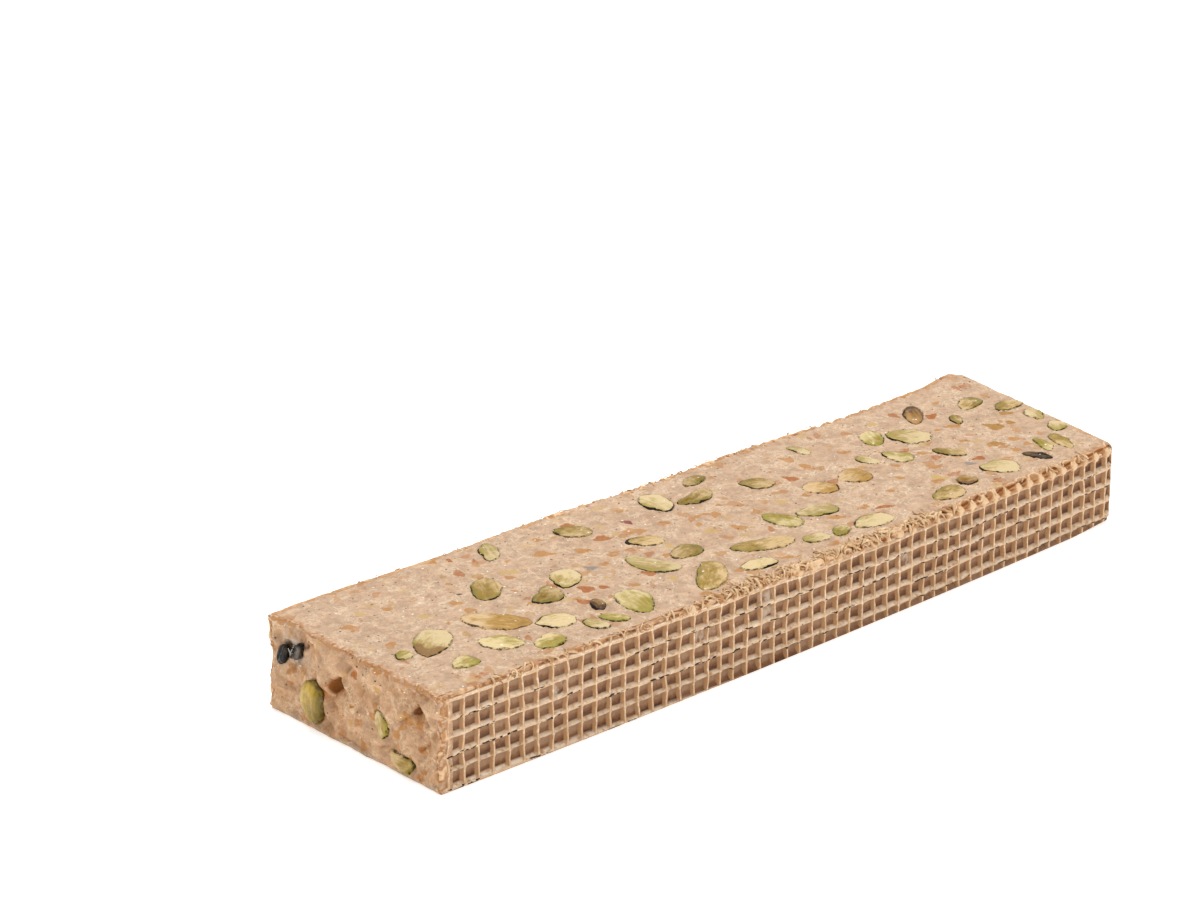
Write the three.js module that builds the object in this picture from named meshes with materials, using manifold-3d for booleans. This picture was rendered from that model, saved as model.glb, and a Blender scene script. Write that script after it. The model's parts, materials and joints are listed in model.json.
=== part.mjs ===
// A bar of nut nougat, in millimetres, +Z up.
//
// The bar was cut from a slab that set between two wafer sheets. Its two long sides keep the
// square waffle that the sheets pressed in. The top, the underside and the far end are smooth
// cuts through nougat and kernels, and the near end is broken off. Every kernel that shows is a
// piece of its own, seated in a socket of the nougat with a little clearance.
//
// The places below are measured along the bar from its near front corner: x along the front
// side, y from the front side to the back, z from the underside. The finished group is moved so
// that its origin is the middle of the underside.

import * as THREE from 'three';
import Module from 'manifold-3d';

const { clamp, degToRad, lerp, seededRandom, smoothstep } = THREE.MathUtils;
const wasm = await Module();
wasm.setup();

// ---------------------------------------------------------------- driving dimensions

// The block
const FRONT_LENGTH = 198.3;
const WIDTH = 53;
const NEAR_HEIGHT = 21.4;
const FAR_HEIGHT = 18.7;
const FRONT_BOW = 1.6; // the front side swells outwards this much at mid-length
const NEAR_SLANT = -1.4 / WIDTH; // x of the broken end for each millimetre of y
const FAR_SLANT = 5.1 / WIDTH; // the same for the cut end
const FAR_CORNER_RADIUS = 2.4;
const FAR_CORNER_TURNS = [50, 15]; // degrees from the far face of the posts on each round corner
const BACK_WAVE = { height: 0.4, length: 58 };
const BACK_SWELL = { height: 2.1, at: 194, reach: 6 }; // a lump near the far back corner

// The waffle on the two long sides
const COLUMNS = 52;
const ROWS = 5;
const GRID_START = 2; // x of the first upright rib
const CELL_LENGTH = 3.83; // of the first cell; the cells shorten a little along the bar
const CELL_LOSS = 0.00114;
const CELL_HEIGHT = 3.85;
const GRID_TOP = { near: 19.7, far: 17.3, from: 10, to: 150 }; // the topmost rib sinks with x
const PIT_DEPTH = 1.35;
const PIT_SPREAD = 0.25; // pits differ in depth by up to this share
const PIT_FLOOR = 0.4; // a pit's floor takes this share of its cell
const LOWEST_RIB = 0.5;
// Cells that were smeared nearly full while the nougat was soft: column, row from the top
const SMEARED_CELLS = [[7, 1], [8, 1], [17, 1], [18, 1], [21, 1], [22, 0], [22, 1], [32, 1], [33, 1]];
const SMEARED_SHARE = 0.3;

// The edges, as insets from the side faces
const EDGE_DROP = 0.5; // the crumbly edge starts this far below the top
const CRUMB_HEIGHT = 0.45; // crumbs stand up to this much above the top
const INSETS = {
  side: { underside: 0.8, rib: 0.2, edge: 0.1, crest: 0.75, top: 1.7 },
  far: { underside: 1.2, rib: 0.3, edge: 0.3, crest: 0.7, top: 1.5 },
  near: { underside: 0.4, rib: 0.1, edge: 0.1, crest: 0.35, top: 0.8 },
};
const CRUMB_WIDENING = { near: 0.7, far: 1.5 }; // the crumbly edges widen along the bar
const CRUMB_SPREAD = 0.45; // their inner border wanders by this share

// The ends
const FAR_STEPS = 9;
const NEAR_STEPS = 19;
// The broken face rises and sinks in crossing waves: height, turns per millimetre of y and of z
const TORN_WAVES = [[0.25, 0.62, 0.31], [0.25, -0.47, 0.93], [0.15, 1.7, 1.1]];
// Hollows torn out of the broken face: y, z, radius, depth
const TORN_HOLLOWS = [
  [46.6, 14.6, 4.6, 1.7],
  [43.6, 19.6, 2.4, 1.4],
  [8, 16, 2.6, 1.1],
  [32.6, 12, 1.8, 0.9],
];

// The kernels
const SOCKET_GAP = 0.35;
const SOCKET_RISE = 2.5; // a socket's cutting solid ends this far above the face
const KERNEL_PROUD = 0.3;
const KERNEL_SHOULDER = 0.82; // the flat of the cut kernel, as a share of its outline
const KERNEL_BELLY = 0.62; // its lowest ring
const KERNEL_SINK = 0.25; // the outline ring lies this far below the face
const KERNEL_DEPTH = 0.45; // depth as a share of the width
const KERNEL_WOBBLE = 0.07;
const KERNEL_SIDES = { small: 8, middle: 9, large: 11 };
const MIDDLE_LENGTH = 6;
const LARGE_LENGTH = 9;

// Outline forms: egg narrows one end, pinch waists the middle, bend curves the length
const FORMS = {
  oval: { egg: 0.1, pinch: 0, bend: 0 },
  egg: { egg: 0.28, pinch: 0, bend: 0 },
  lobed: { egg: 0.08, pinch: 0.1, bend: 0.1 },
  bean: { egg: 0.05, pinch: 0.04, bend: 0.24 },
  sliver: { egg: 0, pinch: -0.1, bend: 0.15 },
};

// Colour and roughness of each finish
const LOOKS = {
  nougat: { color: 0xcfab8a, roughness: 0.55 },
  kernel_green: { color: 0xb4bd5e, roughness: 0.45 },
  kernel_pale: { color: 0xe2dca4, roughness: 0.5 },
  kernel_olive: { color: 0xa29642, roughness: 0.45 },
  kernel_tan: { color: 0xc2964f, roughness: 0.5 },
  kernel_dark: { color: 0x3a2c1c, roughness: 0.4 },
  fruit_dark: { color: 0x2a2d3a, roughness: 0.35 },
};

// Kernels in the cut top: x, y, length, width, turn in degrees, look, form
const TOP_KERNELS = [
  [7, 19.6, 4.2, 3.6, 0, 'kernel_green', 'oval'],
  [15, 20.5, 13, 7.5, 40, 'kernel_pale', 'egg'],
  [14.3, 9.5, 6.5, 5, 10, 'kernel_green', 'egg'],
  [31.5, 20.2, 13, 8, -50, 'kernel_tan', 'lobed'],
  [25.8, 11.8, 9.2, 6.3, -45, 'kernel_green', 'oval'],
  [33.6, 5.8, 7.8, 5.6, 10, 'kernel_green', 'egg'],
  [41, 12.3, 8.4, 6.4, -20, 'kernel_pale', 'oval'],
  [40, 33, 10.8, 6.5, 50, 'kernel_olive', 'oval'],
  [47.6, 22.8, 8.5, 6, 30, 'kernel_olive', 'bean'],
  [46.3, 5.8, 7, 3.5, -70, 'kernel_pale', 'sliver'],
  [51, 5.6, 6.2, 3.2, -52, 'kernel_green', 'oval'],
  [52.5, 46.8, 8.5, 4.2, 60, 'kernel_pale', 'oval'],
  [72.8, 43.5, 8.5, 5.5, -45, 'kernel_olive', 'egg'],
  [56, 26.3, 9, 6.4, 45, 'kernel_pale', 'egg'],
  [81.3, 29.8, 8.6, 4.6, -35, 'kernel_olive', 'oval'],
  [74.8, 20.2, 12.6, 6.2, -65, 'kernel_pale', 'bean'],
  [84.3, 20.2, 8.5, 5.8, 10, 'kernel_olive', 'egg'],
  [59.6, 8.6, 11.5, 7.4, 70, 'kernel_green', 'egg'],
  [80, 8, 13.2, 7.2, 42, 'kernel_olive', 'lobed'],
  [97, 43, 10, 6.6, 80, 'kernel_pale', 'oval'],
  [91.6, 5.6, 9.2, 4.5, -10, 'kernel_pale', 'oval'],
  [99.5, 12.4, 13.4, 6.2, -20, 'kernel_olive', 'lobed'],
  [52.6, 12.6, 5.5, 3, 60, 'kernel_dark', 'sliver'],
  [105.6, 40, 10.2, 5, 10, 'kernel_olive', 'bean'],
  [111.4, 46.8, 7, 3.8, 15, 'kernel_olive', 'oval'],
  [120.8, 36.8, 8, 5.2, -40, 'kernel_olive', 'egg'],
  [111.5, 18.8, 9.8, 6, -70, 'kernel_green', 'oval'],
  [120.6, 17.5, 10.3, 5.4, -15, 'kernel_pale', 'egg'],
  [130, 25.9, 8.5, 6.2, -45, 'kernel_tan', 'oval'],
  [140, 25.8, 8, 7.2, 0, 'kernel_tan', 'egg'],
  [110.3, 7.4, 6.6, 4.4, -10, 'kernel_pale', 'oval'],
  [117, 6.6, 6, 3.7, 30, 'kernel_green', 'egg'],
  [126, 5.9, 10.2, 6, -5, 'kernel_pale', 'oval'],
  [149.3, 5.8, 8.4, 6.2, 10, 'kernel_olive', 'lobed'],
  [140.8, 44, 7, 2.6, 100, 'kernel_pale', 'sliver'],
  [158.2, 38.2, 8.3, 5.4, 55, 'kernel_green', 'oval'],
  [155.4, 27.4, 7.5, 5.4, -70, 'kernel_green', 'egg'],
  [165.6, 33.8, 10.6, 7.4, -50, 'kernel_pale', 'oval'],
  [175.2, 41.8, 10.5, 4.8, 50, 'kernel_dark', 'oval'],
  [181, 33.8, 5, 3, 60, 'kernel_olive', 'oval'],
  [190, 38.6, 8.1, 5, 25, 'kernel_olive', 'egg'],
  [196.2, 32.2, 7.6, 5, 5, 'kernel_olive', 'oval'],
  [197, 24.6, 6.3, 4.6, 70, 'kernel_pale', 'egg'],
  [195.6, 16.6, 6.6, 3.7, 50, 'kernel_pale', 'sliver'],
  [166, 21.7, 8, 4, -60, 'kernel_olive', 'oval'],
  [168.6, 8.6, 9.4, 6.6, -30, 'kernel_pale', 'egg'],
  [185.2, 11, 8.5, 2.6, 72, 'kernel_green', 'sliver'],
  [189.8, 9.8, 8.6, 4, 75, 'kernel_olive', 'oval'],
  [179.8, 7.6, 7.2, 3.3, -60, 'kernel_dark', 'oval'],
  [157.4, 8, 5.4, 4.4, 0, 'kernel_tan', 'oval'],
  [148.6, 30.2, 6.5, 2.5, -75, 'kernel_pale', 'sliver'],
];

// Pieces in the broken end: y, z, length, width, turn, look, form, how far each stands out
const END_KERNELS = [
  [11.9, 3.1, 7.2, 4.2, 0, 'kernel_olive', 'bean', 0.4],
  [39.3, 5.9, 9.4, 6.5, 97, 'kernel_olive', 'egg', 0.9],
  [18.2, 9.2, 6.6, 3.2, 105, 'kernel_pale', 'sliver', 0.4],
  [44.4, 15.6, 4.8, 2.5, 50, 'fruit_dark', 'oval', -0.2],
  [49, 13.6, 5.4, 2.6, 62, 'fruit_dark', 'oval', -0.1],
];

// Seeds of the random draws
const BLOCK_SEED = 20;
const KERNEL_SEED = 7;

// Rows of wall vertices, from the underside up
const UNDERSIDE_ROW = 0;
const RIB_ROW = 1; // the lowest rib; the next ROWS rows are the other ribs
const TOP_RIB_ROW = RIB_ROW + ROWS;
const EDGE_ROW = TOP_RIB_ROW + 1;
const CREST_ROW = EDGE_ROW + 1;
const TOP_ROW = CREST_ROW + 1;
const ROW_COUNT = TOP_ROW + 1;

// ---------------------------------------------------------------- the block's faces

const along = (x) => clamp(x / FRONT_LENGTH, 0, 1);
const topZ = (x) => NEAR_HEIGHT + (FAR_HEIGHT - NEAR_HEIGHT) * (x / FRONT_LENGTH);
const frontY = (x) => -4 * FRONT_BOW * along(x) * (1 - along(x));
const nearX = (y) => NEAR_SLANT * y;
const farX = (y) => FRONT_LENGTH + FAR_SLANT * y;
const ribX = (column) => GRID_START + column * (CELL_LENGTH - CELL_LOSS * column);

function backY(x) {
  const wave = BACK_WAVE.height * Math.sin((2 * Math.PI * x) / BACK_WAVE.length);
  const fromSwell = (x - BACK_SWELL.at) / BACK_SWELL.reach;
  return WIDTH + wave + BACK_SWELL.height * Math.exp(-fromSwell * fromSwell);
}

function topRibZ(x) {
  return lerp(GRID_TOP.near, GRID_TOP.far, smoothstep(x, GRID_TOP.from, GRID_TOP.to));
}

/** Height of a row of wall vertices at x. */
function rowZ(row, x) {
  if (row === UNDERSIDE_ROW) return 0;
  if (row >= CREST_ROW) return topZ(x);
  if (row === EDGE_ROW) return topZ(x) - EDGE_DROP;
  const rib = topRibZ(x) - (TOP_RIB_ROW - row) * CELL_HEIGHT;
  return row === RIB_ROW ? Math.max(rib, LOWEST_RIB) : rib;
}

/** How far the broken face stands out at y, z: crossing waves, less the torn hollows. */
function tornRelief(y, z) {
  let relief = 0;
  for (const [height, alongY, alongZ] of TORN_WAVES) {
    relief += height * Math.sin(alongY * y + alongZ * z);
  }
  for (const [hollowY, hollowZ, radius, depth] of TORN_HOLLOWS) {
    const away = Math.hypot(y - hollowY, z - hollowZ) / radius;
    relief -= depth * Math.exp(-away * away);
  }
  return relief;
}

// ---------------------------------------------------------------- the nougat

/** A place on the block's outline: which face it belongs to and which way is out. */
function post(face, x, y, degrees, pitsAfter = false) {
  const angle = degToRad(degrees);
  return { face, x, y, out: new THREE.Vector3(Math.cos(angle), Math.sin(angle), 0), pitsAfter };
}

/** A post on the round of a far corner. */
function cornerPost(centreX, centreY, degrees, pitsAfter) {
  const corner = post('far', centreX, centreY, degrees, pitsAfter);
  corner.x += FAR_CORNER_RADIUS * corner.out.x;
  corner.y += FAR_CORNER_RADIUS * corner.out.y;
  return corner;
}

/** Posts round the whole block, counterclockwise from the near front corner. */
function wallPosts() {
  const columns = Array.from({ length: COLUMNS }, (_, column) => column);
  const steps = (count) => Array.from({ length: count - 1 }, (_, step) => (step + 1) / count);
  const [sideTurn, endTurn] = FAR_CORNER_TURNS;
  const frontArcX = farX(0) - FAR_CORNER_RADIUS;
  const backArcX = farX(WIDTH) - FAR_CORNER_RADIUS;
  const backArcY = backY(backArcX) - FAR_CORNER_RADIUS;
  return [
    post('near', nearX(0), 0, 225),
    ...columns.map((column) => post('side', ribX(column), frontY(ribX(column)), 270, true)),
    cornerPost(frontArcX, FAR_CORNER_RADIUS, -sideTurn),
    cornerPost(frontArcX, FAR_CORNER_RADIUS, -endTurn),
    ...steps(FAR_STEPS).map((share) => post('far', farX(WIDTH * share), WIDTH * share, 0)),
    cornerPost(backArcX, backArcY, endTurn),
    cornerPost(backArcX, backArcY, sideTurn, true),
    ...columns.reverse().map((column) => post('side', ribX(column), backY(ribX(column)), 90, column > 0)),
    post('near', nearX(WIDTH), backY(0), 135),
    ...steps(NEAR_STEPS).map((share) => post('near', nearX(WIDTH * (1 - share)), WIDTH * (1 - share), 180)),
  ];
}

/** How far a wall vertex lies inside its post's place on the outline. */
function wallInset({ face, x, y }, row, wander) {
  const insets = INSETS[face];
  const relief = face === 'near' ? tornRelief(y, rowZ(row, x)) : 0;
  const sunk = Math.max(-relief, 0);
  const widening = face === 'side' ? lerp(CRUMB_WIDENING.near, CRUMB_WIDENING.far, along(x)) : 1;
  if (row === UNDERSIDE_ROW) return insets.underside;
  if (row === TOP_ROW) return insets.top * widening * wander + sunk;
  if (row === CREST_ROW) return insets.crest * widening + sunk;
  if (row === EDGE_ROW) return insets.edge - relief;
  return (row === RIB_ROW ? insets.rib : 0) - relief;
}

/** One vertex of the wall, at a post and a row. */
function wallVertex(at, row) {
  const wander = 1 + CRUMB_SPREAD * (seededRandom() - 0.5);
  const crumb = CRUMB_HEIGHT * seededRandom();
  const vertex = new THREE.Vector3(at.x, at.y, 0).addScaledVector(at.out, -wallInset(at, row, wander));
  vertex.z = rowZ(row, vertex.x);
  if (row === CREST_ROW && at.face === 'side') vertex.z += crumb;
  return vertex;
}

const quadTriangles = ([a, b, c, d]) => [[a, b, c], [a, c, d]];

/** Triangles of a flat cap over a ring of vertices; up says which way it faces. */
function capTriangles(vertices, ring, up) {
  const outline = ring.map((index) => new THREE.Vector2(vertices[index].x, vertices[index].y));
  const triangles = THREE.ShapeUtils.triangulateShape(outline, []);
  const area = triangles.reduce((sum, corners) => (
    sum + THREE.ShapeUtils.area(corners.map((corner) => outline[corner]))
  ), 0);
  const facesRight = (area > 0) === up;
  return triangles.map((corners) => {
    const indices = corners.map((corner) => ring[corner]);
    return facesRight ? indices : indices.reverse();
  });
}

/** A waffle pit between four corners: four sloping walls and a small floor. */
function pitTriangles(vertices, corners, out, depth) {
  const centre = new THREE.Vector3();
  corners.forEach((corner) => centre.addScaledVector(vertices[corner], 1 / corners.length));
  const floor = corners.map((corner) => {
    const vertex = centre.clone().lerp(vertices[corner], PIT_FLOOR).addScaledVector(out, -depth);
    return vertices.push(vertex) - 1;
  });
  const walls = corners.flatMap((corner, side) => {
    const next = (side + 1) % corners.length;
    return quadTriangles([corner, corners[next], floor[next], floor[side]]);
  });
  return walls.concat(quadTriangles(floor));
}

/** How deep the pit is that starts at a post, between two ribs of a given distance. */
function pitDepth({ x, y }, rowFromTop, height) {
  const inFront = y < WIDTH / 2;
  const isHere = ([column, row]) => row === rowFromTop && x === ribX(column);
  const smeared = inFront && SMEARED_CELLS.some(isHere) ? SMEARED_SHARE : 1;
  const spread = 1 + PIT_SPREAD * (seededRandom() - 0.5);
  return PIT_DEPTH * spread * smeared * Math.min(height / CELL_HEIGHT, 1);
}

/** The nougat before its sockets are cut: a wall of posts and rows, closed by two flat cuts. */
function nougatBlock() {
  const posts = wallPosts();
  const rows = Array.from({ length: ROW_COUNT }, (_, row) => row);
  seededRandom(BLOCK_SEED);
  const vertices = posts.flatMap((at) => rows.map((row) => wallVertex(at, row)));
  const vertexAt = (index, row) => (index % posts.length) * ROW_COUNT + row;
  const triangles = [];
  posts.forEach((at, index) => {
    const out = at.out.clone().add(posts[(index + 1) % posts.length].out).normalize();
    for (const row of rows.slice(0, TOP_ROW)) {
      const low = [vertexAt(index, row), vertexAt(index + 1, row)];
      const high = [vertexAt(index + 1, row + 1), vertexAt(index, row + 1)];
      const corners = [...low, ...high];
      const height = vertices[high[1]].z - vertices[low[0]].z;
      if (at.pitsAfter && row >= RIB_ROW && row < TOP_RIB_ROW) {
        const depth = pitDepth(at, TOP_RIB_ROW - 1 - row, height);
        triangles.push(...pitTriangles(vertices, corners, out, depth));
      } else {
        triangles.push(...quadTriangles(corners));
      }
    }
  });
  const ring = (row) => posts.map((_, index) => vertexAt(index, row));
  triangles.push(...capTriangles(vertices, ring(TOP_ROW), true));
  triangles.push(...capTriangles(vertices, ring(UNDERSIDE_ROW), false));
  return closedGeometry(vertices, triangles);
}

function closedGeometry(vertices, triangles) {
  const geometry = new THREE.BufferGeometry().setFromPoints(vertices);
  return geometry.setIndex(triangles.flat());
}

// ---------------------------------------------------------------- the kernels

/** A kernel's outline round its own middle, counterclockwise. */
function kernelOutline(length, width, form) {
  const { egg, pinch, bend } = FORMS[form];
  const size = length > LARGE_LENGTH ? 'large' : length > MIDDLE_LENGTH ? 'middle' : 'small';
  const count = KERNEL_SIDES[size];
  return Array.from({ length: count }, (_, index) => {
    const angle = (2 * Math.PI * index) / count;
    const cos = Math.cos(angle);
    const reach = 1 + pinch * Math.cos(2 * angle) + KERNEL_WOBBLE * (seededRandom() - 0.5);
    const x = (length / 2) * reach * cos;
    const y = (width / 2) * (reach * Math.sin(angle) * (1 + egg * cos) + bend * (2 * cos * cos - 1));
    return new THREE.Vector2(x, y);
  });
}

/** The outline moved outwards by a gap, each corner along the bisector of its two edges. */
function grownOutline(outline, gap) {
  return outline.map((point, index) => {
    const before = outline[(index + outline.length - 1) % outline.length];
    const after = outline[(index + 1) % outline.length];
    const normals = [[before, point], [point, after]].map(([from, to]) => {
      const edge = to.clone().sub(from).normalize();
      return new THREE.Vector2(edge.y, -edge.x);
    });
    const bisector = normals[0].clone().add(normals[1]);
    return point.clone().addScaledVector(bisector, gap / (1 + normals[0].dot(normals[1])));
  });
}

/** A closed solid through rings of equal count from the lowest up, each an outline and a z. */
function ringSolid(rings) {
  const count = rings[0].outline.length;
  const vertices = rings.flatMap(({ outline, z }) => (
    outline.map((point) => new THREE.Vector3(point.x, point.y, z))
  ));
  const lowest = Array.from({ length: count }, (_, index) => index);
  const triangles = rings.slice(1).flatMap((_, ring) => lowest.flatMap((index) => {
    const here = ring * count + index;
    const next = ring * count + ((index + 1) % count);
    return quadTriangles([here, next, next + count, here + count]);
  }));
  const highest = lowest.map((index) => index + (rings.length - 1) * count);
  triangles.push(...capTriangles(vertices, lowest, false), ...capTriangles(vertices, highest, true));
  return closedGeometry(vertices, triangles);
}

const scaled = (outline, factor) => outline.map((point) => point.clone().multiplyScalar(factor));

/** A cut kernel: a rounded belly, its widest ring just below the face, and a nearly flat cut. */
function kernelGeometry(outline, depth, proud) {
  return ringSolid([
    { outline: scaled(outline, KERNEL_BELLY), z: -depth },
    { outline, z: -KERNEL_SINK },
    { outline: scaled(outline, KERNEL_SHOULDER), z: proud },
  ]);
}

/** The space cut out of the nougat for a kernel. */
function socketGeometry(outline, depth) {
  return ringSolid([
    { outline: grownOutline(scaled(outline, KERNEL_BELLY), SOCKET_GAP), z: -depth - SOCKET_GAP },
    { outline: grownOutline(outline, SOCKET_GAP), z: -KERNEL_SINK },
    { outline: grownOutline(outline, SOCKET_GAP), z: SOCKET_RISE },
  ]);
}

const materials = Object.fromEntries(
  Object.entries(LOOKS).map(([look, { color, roughness }]) => [
    look,
    new THREE.MeshStandardMaterial({ name: look, color, roughness, metalness: 0 }),
  ]),
);

/** A kernel's mesh, and the socket it sits in, placed by the frame of the face it lies in. */
function makeKernel(name, faceFrame, [length, width, turn, look, form, proud = KERNEL_PROUD]) {
  const outline = kernelOutline(length, width, form);
  const depth = KERNEL_DEPTH * width;
  const mesh = new THREE.Mesh(kernelGeometry(outline, depth, proud), materials[look]);
  mesh.name = name;
  mesh.applyMatrix4(faceFrame);
  mesh.rotateZ(degToRad(turn));
  mesh.updateMatrix();
  const socket = socketGeometry(outline, depth).applyMatrix4(mesh.matrix);
  return { mesh, socket };
}

/** The frame of the cut top at x, y: z out of the face, x along the bar. */
function topFrame(x, y) {
  const tilt = Math.atan((NEAR_HEIGHT - FAR_HEIGHT) / FRONT_LENGTH);
  return new THREE.Matrix4().makeRotationY(tilt).setPosition(x, y, topZ(x));
}

/** The frame of the broken end at y, z: z out of the face, y up, x towards the front side. */
function endFrame(y, z) {
  const towardsFront = new THREE.Vector3(0, -1, 0);
  const up = new THREE.Vector3(0, 0, 1);
  const out = new THREE.Vector3(-1, 0, 0);
  return new THREE.Matrix4().makeBasis(towardsFront, up, out).setPosition(nearX(y), y, z);
}

function makeKernels() {
  seededRandom(KERNEL_SEED);
  const numbered = (stem, index) => `${stem}_${String(index + 1).padStart(2, '0')}`;
  const inTop = TOP_KERNELS.map(([x, y, ...kernel], index) => (
    makeKernel(numbered('kernel', index), topFrame(x, y), kernel)
  ));
  const inEnd = END_KERNELS.map(([y, z, ...kernel], index) => (
    makeKernel(numbered('end_kernel', index), endFrame(y, z), kernel)
  ));
  return inTop.concat(inEnd);
}

// ---------------------------------------------------------------- sockets and assembly

function toSolid(geometry) {
  const vertProperties = new Float32Array(geometry.getAttribute('position').array);
  const triVerts = new Uint32Array(geometry.getIndex().array);
  return new wasm.Manifold(new wasm.Mesh({ numProp: 3, vertProperties, triVerts }));
}

function toGeometry(solid) {
  const { vertProperties, triVerts } = solid.getMesh();
  const geometry = new THREE.BufferGeometry();
  geometry.setAttribute('position', new THREE.BufferAttribute(vertProperties, 3));
  return geometry.setIndex(new THREE.BufferAttribute(triVerts, 1));
}

function makeNougat(sockets) {
  const block = toSolid(nougatBlock());
  const solid = sockets.reduce((rest, socket) => rest.subtract(toSolid(socket)), block);
  const mesh = new THREE.Mesh(toGeometry(solid), materials.nougat);
  mesh.name = 'nougat';
  return mesh;
}

function makeBar() {
  const kernels = makeKernels();
  const bar = new THREE.Group();
  bar.add(makeNougat(kernels.map(({ socket }) => socket)));
  kernels.forEach(({ mesh }) => bar.add(mesh));
  bar.traverse((piece) => piece.geometry?.computeVertexNormals());
  const middle = new THREE.Box3().setFromObject(bar).getCenter(new THREE.Vector3());
  bar.position.set(-middle.x, -middle.y, 0);
  return bar;
}

export default makeBar();
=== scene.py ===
# %% [markdown]
# # A bar of soft nut nougat
# The real bar is sawn from a slab that set between two wafer sheets. Its long sides keep the
# square waffle of the wafers, its top, underside and far end are smooth cuts through nougat and
# kernels, and its near end is broken off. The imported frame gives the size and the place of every
# piece. This lesson dresses it: each new surface is a formula of two parameters, worked out for
# all its points at once with numpy, and each finish is a tree of shader nodes.

# %% Load the frame
import json

import bpy
import numpy as np
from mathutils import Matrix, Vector


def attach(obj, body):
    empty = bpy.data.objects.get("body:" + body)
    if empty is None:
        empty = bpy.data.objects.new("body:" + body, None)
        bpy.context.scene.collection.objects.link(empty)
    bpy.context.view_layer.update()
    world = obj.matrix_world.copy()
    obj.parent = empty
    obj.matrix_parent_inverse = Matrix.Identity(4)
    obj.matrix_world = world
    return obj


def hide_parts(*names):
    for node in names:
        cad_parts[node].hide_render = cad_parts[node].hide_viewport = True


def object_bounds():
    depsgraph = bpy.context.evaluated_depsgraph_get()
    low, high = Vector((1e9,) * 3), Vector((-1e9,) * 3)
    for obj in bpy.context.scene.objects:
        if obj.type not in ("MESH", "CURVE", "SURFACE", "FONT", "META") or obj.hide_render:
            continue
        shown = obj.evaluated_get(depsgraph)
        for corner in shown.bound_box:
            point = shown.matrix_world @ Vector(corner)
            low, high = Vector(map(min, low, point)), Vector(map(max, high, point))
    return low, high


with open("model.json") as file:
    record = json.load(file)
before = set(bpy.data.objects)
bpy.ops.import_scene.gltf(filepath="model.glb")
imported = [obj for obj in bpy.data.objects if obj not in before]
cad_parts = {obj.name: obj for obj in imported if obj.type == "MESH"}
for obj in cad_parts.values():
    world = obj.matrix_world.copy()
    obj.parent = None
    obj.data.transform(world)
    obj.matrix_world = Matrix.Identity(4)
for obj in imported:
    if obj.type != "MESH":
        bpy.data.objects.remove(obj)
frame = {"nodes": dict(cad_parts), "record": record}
cad_low, cad_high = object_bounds()
nodes = frame["nodes"]
slot_of = {part["node"]: part["material_slot"] for part in frame["record"]["subparts"]}
print("pieces in the frame:", len(nodes))

# %% [markdown]
# ## Bar coordinates
# A baker would measure from a corner: x along the bar from its broken end, y from the front side
# to the back, z up from the underside, in millimetres. Working in those numbers keeps every
# formula readable, and one function at the end of each shape turns them into frame metres.

# %% From bar millimetres to frame metres
MM = 0.001
CORNER_IN_BOX = (1.938, 1.6)  # the near front corner, from the low corner of the frame's box
CORNER = np.array([cad_low.x / MM + CORNER_IN_BOX[0], cad_low.y / MM + CORNER_IN_BOX[1], 0.0])


def placed(points):
    """Frame metres of points in bar millimetres: their place plus the corner's, times 0.001."""
    return (np.asarray(points, float).reshape(-1, 3) + CORNER) * MM


def srgb(code):
    """Linear colour with alpha of a six-digit colour code, by the sRGB curve's power 2.4."""
    share = np.array([int(code[at : at + 2], 16) / 255 for at in (0, 2, 4)])
    linear = np.where(share <= 0.04045, share / 12.92, ((share + 0.055) / 1.055) ** 2.4)
    return (*(float(value) for value in linear), 1.0)


print("near front corner in the frame, mm:", CORNER.round(2))

# %% [markdown]
# ## Camera
# A long lens from a step away keeps the edges of the bar nearly parallel. It stands off the near
# corner, between the broken end and the front side, and looks down at about a quarter of a right
# angle.

# %% Camera
CAMERA_PLACE = Vector((-566.2, -594.5, 391.6)) * MM
CAMERA_AIM = Vector((-58.7, -26.9, 62.3)) * MM
CAMERA_LENS, CAMERA_SENSOR = 125.9, 36.0


def make_camera():
    data = bpy.data.cameras.new("camera")
    data.lens = CAMERA_LENS
    data.sensor_width = CAMERA_SENSOR
    camera = bpy.data.objects.new("camera", data)
    camera.location = CAMERA_PLACE
    camera.rotation_euler = (CAMERA_AIM - CAMERA_PLACE).to_track_quat("-Z", "Y").to_euler()
    bpy.context.scene.collection.objects.link(camera)
    bpy.context.scene.camera = camera


make_camera()
print("camera distance, mm:", round((CAMERA_AIM - CAMERA_PLACE).length / MM))

# %% [markdown]
# ## Node helpers
# Materials below are trees of many small nodes. One function adds a node and fills its sockets
# with numbers or with links, so that a material reads like a sum instead of a page of wiring.

# %% Node helpers
def fill(tree, made, inputs):
    """Give each named or numbered socket of a node its value, or a link from another socket."""
    for key, value in inputs.items():
        if isinstance(value, bpy.types.NodeSocket):
            tree.links.new(value, made.inputs[key])
        else:
            made.inputs[key].default_value = value


def add(tree, kind, inputs=None, **settings):
    """Add a node; inputs maps a socket's name or number to a value or to another socket."""
    made = tree.nodes.new("ShaderNode" + kind)
    for key, value in settings.items():
        setattr(made, key, value)
    fill(tree, made, inputs or {})
    return made


def maths(tree, operation, first, second=0.0):
    return add(tree, "Math", {0: first, 1: second}, operation=operation).outputs[0]


def plus(tree, first, second):
    return maths(tree, "ADD", first, second)


def minus(tree, first, second):
    return maths(tree, "SUBTRACT", first, second)


def times(tree, first, second):
    return maths(tree, "MULTIPLY", first, second)


def step(tree, value, low, high, start=0.0, end=1.0):
    """Smooth rise from start to end while value goes from low to high."""
    sockets = {"Value": value, 1: low, 2: high, 3: start, 4: end}
    return add(tree, "MapRange", sockets, interpolation_type="SMOOTHSTEP").outputs[0]


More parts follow.
